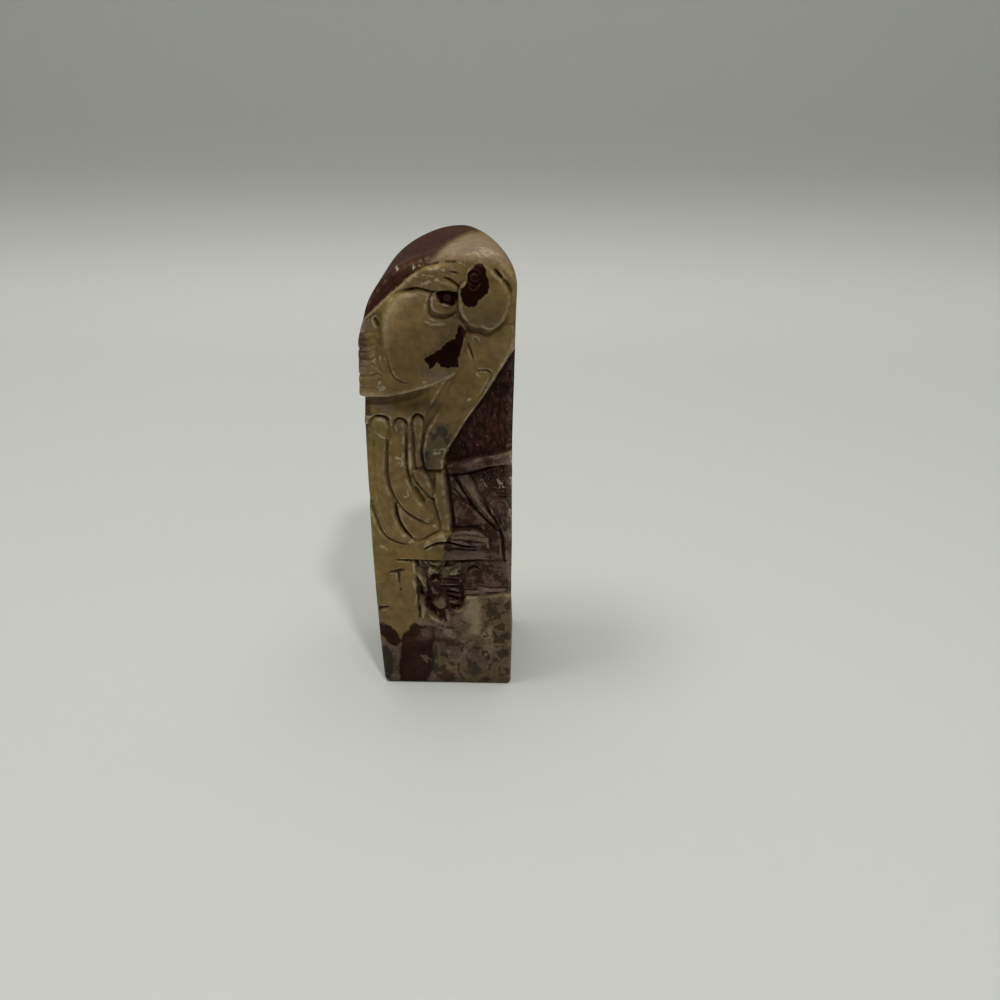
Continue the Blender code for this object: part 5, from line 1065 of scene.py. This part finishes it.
SKIN_STEP = 0.00036
TRIANGLES = 190000           # asked of the thinning, which stops a little above
RIDGE_ROUNDS = 5             # rounds of evening against which narrow ridges stand out
HOLLOW_ROUNDS = 60           # and wide hollows lie deep
LEAST_THINNING = 0.05        # thinning of the shown front, where 1 is that of the faces behind
SIDE_REACH = 8.0             # mm in from a side wall that its cuts move the stone


def settled(item, modifier_name):
    """The mesh as one modifier leaves it, put in place of the old one."""
    graph = bpy.context.evaluated_depsgraph_get()
    mesh = bpy.data.meshes.new_from_object(item.evaluated_get(graph))
    item.modifiers.remove(item.modifiers[modifier_name])
    item.data = mesh


def corners_of(mesh):
    flat = np.empty(3 * len(mesh.vertices))
    mesh.vertices.foreach_get("co", flat)
    return flat.reshape(-1, 3)


def keep_number(mesh, name, values):
    attribute = mesh.attributes.get(name) or mesh.attributes.new(name, "FLOAT", "POINT")
    attribute.data.foreach_set("value", np.asarray(values, np.float32))


def ridges(mesh, rounds):
    """How far each spot stands out over its surroundings, in mm: above 0 on ridges, below 0 in cuts.
    More rounds of evening compare it with wider surroundings."""
    places = corners_of(mesh)
    edges = np.empty(2 * len(mesh.edges), np.int64)
    mesh.edges.foreach_get("vertices", edges)
    one, other = edges.reshape(-1, 2).T
    count = len(places)
    neighbours = np.bincount(one, minlength=count) + np.bincount(other, minlength=count)
    even = places.copy()
    for _ in range(rounds):
        total = np.column_stack([np.bincount(one, even[other, k], count) + np.bincount(other, even[one, k],
            count) for k in range(3)])
        even = 0.5 * even + 0.5 * total / neighbours[:, None]
    normals = np.empty(3 * count)
    mesh.vertices.foreach_get("normal", normals)
    return ((places - even) * normals.reshape(-1, 3)).sum(axis=1) / MM


def carved(places):
    """Each spot of the skin moved in by the depth of the drawing on its own face, and how deep the knife
    went there, in mm."""
    x, y, z = (places / MM).T
    half_width, half_depth = 0.5 * WIDTH / MM, 0.5 * DEPTH / MM
    left, left_share = carve_left(y, z), ease((-half_width - x) / SIDE_REACH + 1.0)
    right, right_share = carve_right(y, z), ease((x - half_width) / SIDE_REACH + 1.0)
    x = x + left.depth * left_share - right.depth * right_share
    front, front_share = carve_front(x, z), np.clip(-y / half_depth, 0.0, 1.0)
    rear, rear_share = carve_back(-x, z), np.clip(y / half_depth, 0.0, 1.0)
    y = y + front.depth * front_share - rear.depth * rear_share
    knife = np.maximum(front.knife * ease(3.0 * front_share - 2.0),
        rear.knife * ease(3.0 * rear_share - 2.0))
    knife = np.maximum(knife, np.maximum(left.knife * left_share, right.knife * right_share))
    return np.column_stack([x, y, z]) * MM, knife


def bird_carving():
    mesh = bpy.data.meshes.new("bird_carving_stone")
    blank = lofted_blank()
    blank.to_mesh(mesh)
    blank.free()
    stone = bpy.data.objects.new("bird_carving_stone", mesh)
    bpy.context.scene.collection.objects.link(stone)

    skin = stone.modifiers.new("skin", "REMESH")
    skin.mode = "VOXEL"
    skin.voxel_size = SKIN_STEP
    settled(stone, "skin")

    places, knife = carved(corners_of(stone.data))
    middle = 0.5 * (places.min(axis=0) + places.max(axis=0))
    shift = np.array([middle[0], middle[1], places[:, 2].min()])
    stone.data.vertices.foreach_set("co", (places - shift).ravel())
    stone.data.update()
    across, back, up = (places / MM).T
    in_front = ease((-back - 14.0) / 5.0)
    keep_number(stone.data, "ridge", ridges(stone.data, RIDGE_ROUNDS) * (0.3 + 0.7 * in_front))
    # wide hollows, which the material darkens as painted shade with some dirt
    keep_number(stone.data, "hollow", -ridges(stone.data, HOLLOW_ROUNDS))
    keep_number(stone.data, "knife", knife)
    keep_number(stone.data, "rough", rough_ground(across, up) * ease((-back - 10.0) / 6.0))

    material = stone_material()
    marks = stone.modifiers.new("tool marks", "NODES")
    marks.node_group = relief_tree()
    given = {item.name: item.identifier for item in marks.node_group.interface.items_tree if item.in_out == "INPUT"}
    marks[given["Wave height"]] = WAVE_HEIGHT
    marks[given["Waves per metre"]] = 1.0 / (WAVE_LENGTH * MM)
    marks[given["Tool depth"]] = TOOL_DEPTH
    marks[given["Marks per metre"]] = 1.0 / (TOOL_WIDTH * MM)
    marks[given["Material"]] = material
    settled(stone, "tool marks")

    facing = ease((-back - 4.0) / 10.0)
    shown = np.maximum(facing, ease((up - 120.0) / 8.0))
    group = stone.vertex_groups.new(name="thinned")
    weights = np.round(LEAST_THINNING + (1.0 - LEAST_THINNING) * (1.0 - shown), 1)
    for weight in np.unique(weights):
        group.add(np.flatnonzero(weights == weight).tolist(), float(weight), "REPLACE")
    thinning = stone.modifiers.new("thinning", "DECIMATE")
    stone.data.calc_loop_triangles()
    thinning.ratio = TRIANGLES / len(stone.data.loop_triangles)
    thinning.vertex_group = "thinned"
    thinning.vertex_group_factor = 1.0
    thinning.use_collapse_triangulate = True
    settled(stone, "thinning")

    places = corners_of(stone.data)
    places[:, 2] = np.maximum(places[:, 2], 0.0)
    places[places[:, 2] < 0.25 * SKIN_STEP, 2] = 0.0
    stone.data.vertices.foreach_set("co", places.ravel())
    stone.data.update()
    across, back, up = ((places + shift) / MM).T
    for name, distance in colour_patches(across, back, up).items():
        keep_number(stone.data, name, distance)
    stone.data.shade_smooth()
    return stone


stone = bird_carving()
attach(stone, "root")
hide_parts("bird_carving")


# The pale floor, swept up into a plain backdrop

FLOOR_HALF_WIDTH = 1.6
FLOOR_FRONT = -1.2
FLOOR_BACK = 0.350
SWEEP_RADIUS = 0.10
BACKDROP_TOP = 1.9


def floor_sheet():
    profile = [(FLOOR_FRONT, 0.0), (FLOOR_BACK, 0.0)]
    for turn in np.linspace(0.0, 0.5 * math.pi, 17)[1:]:
        profile.append((FLOOR_BACK + SWEEP_RADIUS * math.sin(turn), SWEEP_RADIUS * (1.0 - math.cos(turn))))
    profile.append((FLOOR_BACK + SWEEP_RADIUS, BACKDROP_TOP))
    corners = [(side * FLOOR_HALF_WIDTH, y, z) for y, z in profile for side in (-1.0, 1.0)]
    faces = [(2 * i, 2 * i + 1, 2 * i + 3, 2 * i + 2) for i in range(len(profile) - 1)]
    mesh = bpy.data.meshes.new("floor")
    mesh.from_pydata(corners, [], faces)
    mesh.shade_smooth()
    floor = bpy.data.objects.new("floor", mesh)
    bpy.context.scene.collection.objects.link(floor)
    return floor


def floor_material():
    """Matt card, painted greyer where it rises behind as painted shade on the backdrop."""
    recipe = Recipe("floor_card")
    place = recipe.nodes.new("ShaderNodeTexCoord").outputs["Object"]
    cloud = recipe.noise(place, 1.5, 2.0, 2.0)
    parts = recipe.nodes.new("ShaderNodeSeparateXYZ")
    recipe.links.new(place, parts.inputs[0])
    card = recipe.blend(recipe.step(cloud, 0.3, 0.7), (0.71, 0.725, 0.67), (0.735, 0.745, 0.69))
    # painted shade: the card turns greyer as it rises into the backdrop
    card = recipe.blend(recipe.step(parts.outputs["Z"], 0.0, 0.14), card, (0.50, 0.51, 0.475))
    recipe.join(recipe.shader.inputs["Base Color"], card)
    recipe.join(recipe.shader.inputs["Roughness"], recipe.math("MULTIPLY_ADD", cloud, 0.1, 0.55))
    return recipe.material


floor = floor_sheet()
floor.data.materials.append(floor_material())


# Light: a broad soft ceiling, a small lamp high to the right of the viewer and a large one to the left

ROOM_GREY = (0.92, 0.96, 1.0, 1.0)
ROOM_STRENGTH = 0.05


def hang_lamp(name, from_right, from_front, height, size, power):
    """A disk lamp that faces the stone, by how far right, in front of and above it the lamp hangs."""
    lamp = bpy.data.objects.new(name, bpy.data.lights.new(name, "AREA"))
    lamp.data.shape = "DISK"
    lamp.data.size = size
    lamp.data.energy = power
    lamp.location = (from_right, -from_front, height)
    to_stone = Vector((0.0, 0.0, 0.5 * HEIGHT)) - lamp.location
    lamp.rotation_euler = to_stone.to_track_quat("-Z", "Y").to_euler()
    bpy.context.scene.collection.objects.link(lamp)


hang_lamp("ceiling_light", 0.0, -0.15, 1.90, 1.6, 15.5)
hang_lamp("right_lamp", 0.30, 0.73, 1.30, 0.12, 5.6)
hang_lamp("left_lamp", -0.50, 0.10, 1.40, 0.45, 4.2)

room = bpy.data.worlds.new("room")
room.use_nodes = True
room.node_tree.nodes["Background"].inputs["Color"].default_value = ROOM_GREY
room.node_tree.nodes["Background"].inputs["Strength"].default_value = ROOM_STRENGTH
bpy.context.scene.world = room
bpy.context.scene.view_settings.view_transform = "Standard"


# Camera: a phone held close, two object heights away, looking 27 degrees down

CAMERA_PLACE = Vector((0.0267, -0.3007, 0.2154))
CAMERA_DOWN = math.radians(27.0)
CAMERA_TURN = math.radians(-1.58)
CAMERA_LENS = 36.0
SENSOR_WIDTH = 36.0

view = Vector((math.sin(CAMERA_TURN) * math.cos(CAMERA_DOWN),
    math.cos(CAMERA_TURN) * math.cos(CAMERA_DOWN), -math.sin(CAMERA_DOWN)))
camera = bpy.data.objects.new("camera", bpy.data.cameras.new("camera"))
camera.data.lens = CAMERA_LENS
camera.data.sensor_width = SENSOR_WIDTH
camera.data.clip_start = 0.01
camera.location = CAMERA_PLACE
camera.rotation_euler = view.to_track_quat("-Z", "Y").to_euler()
bpy.context.scene.collection.objects.link(camera)
bpy.context.scene.camera = camera


bpy.context.view_layer.update()
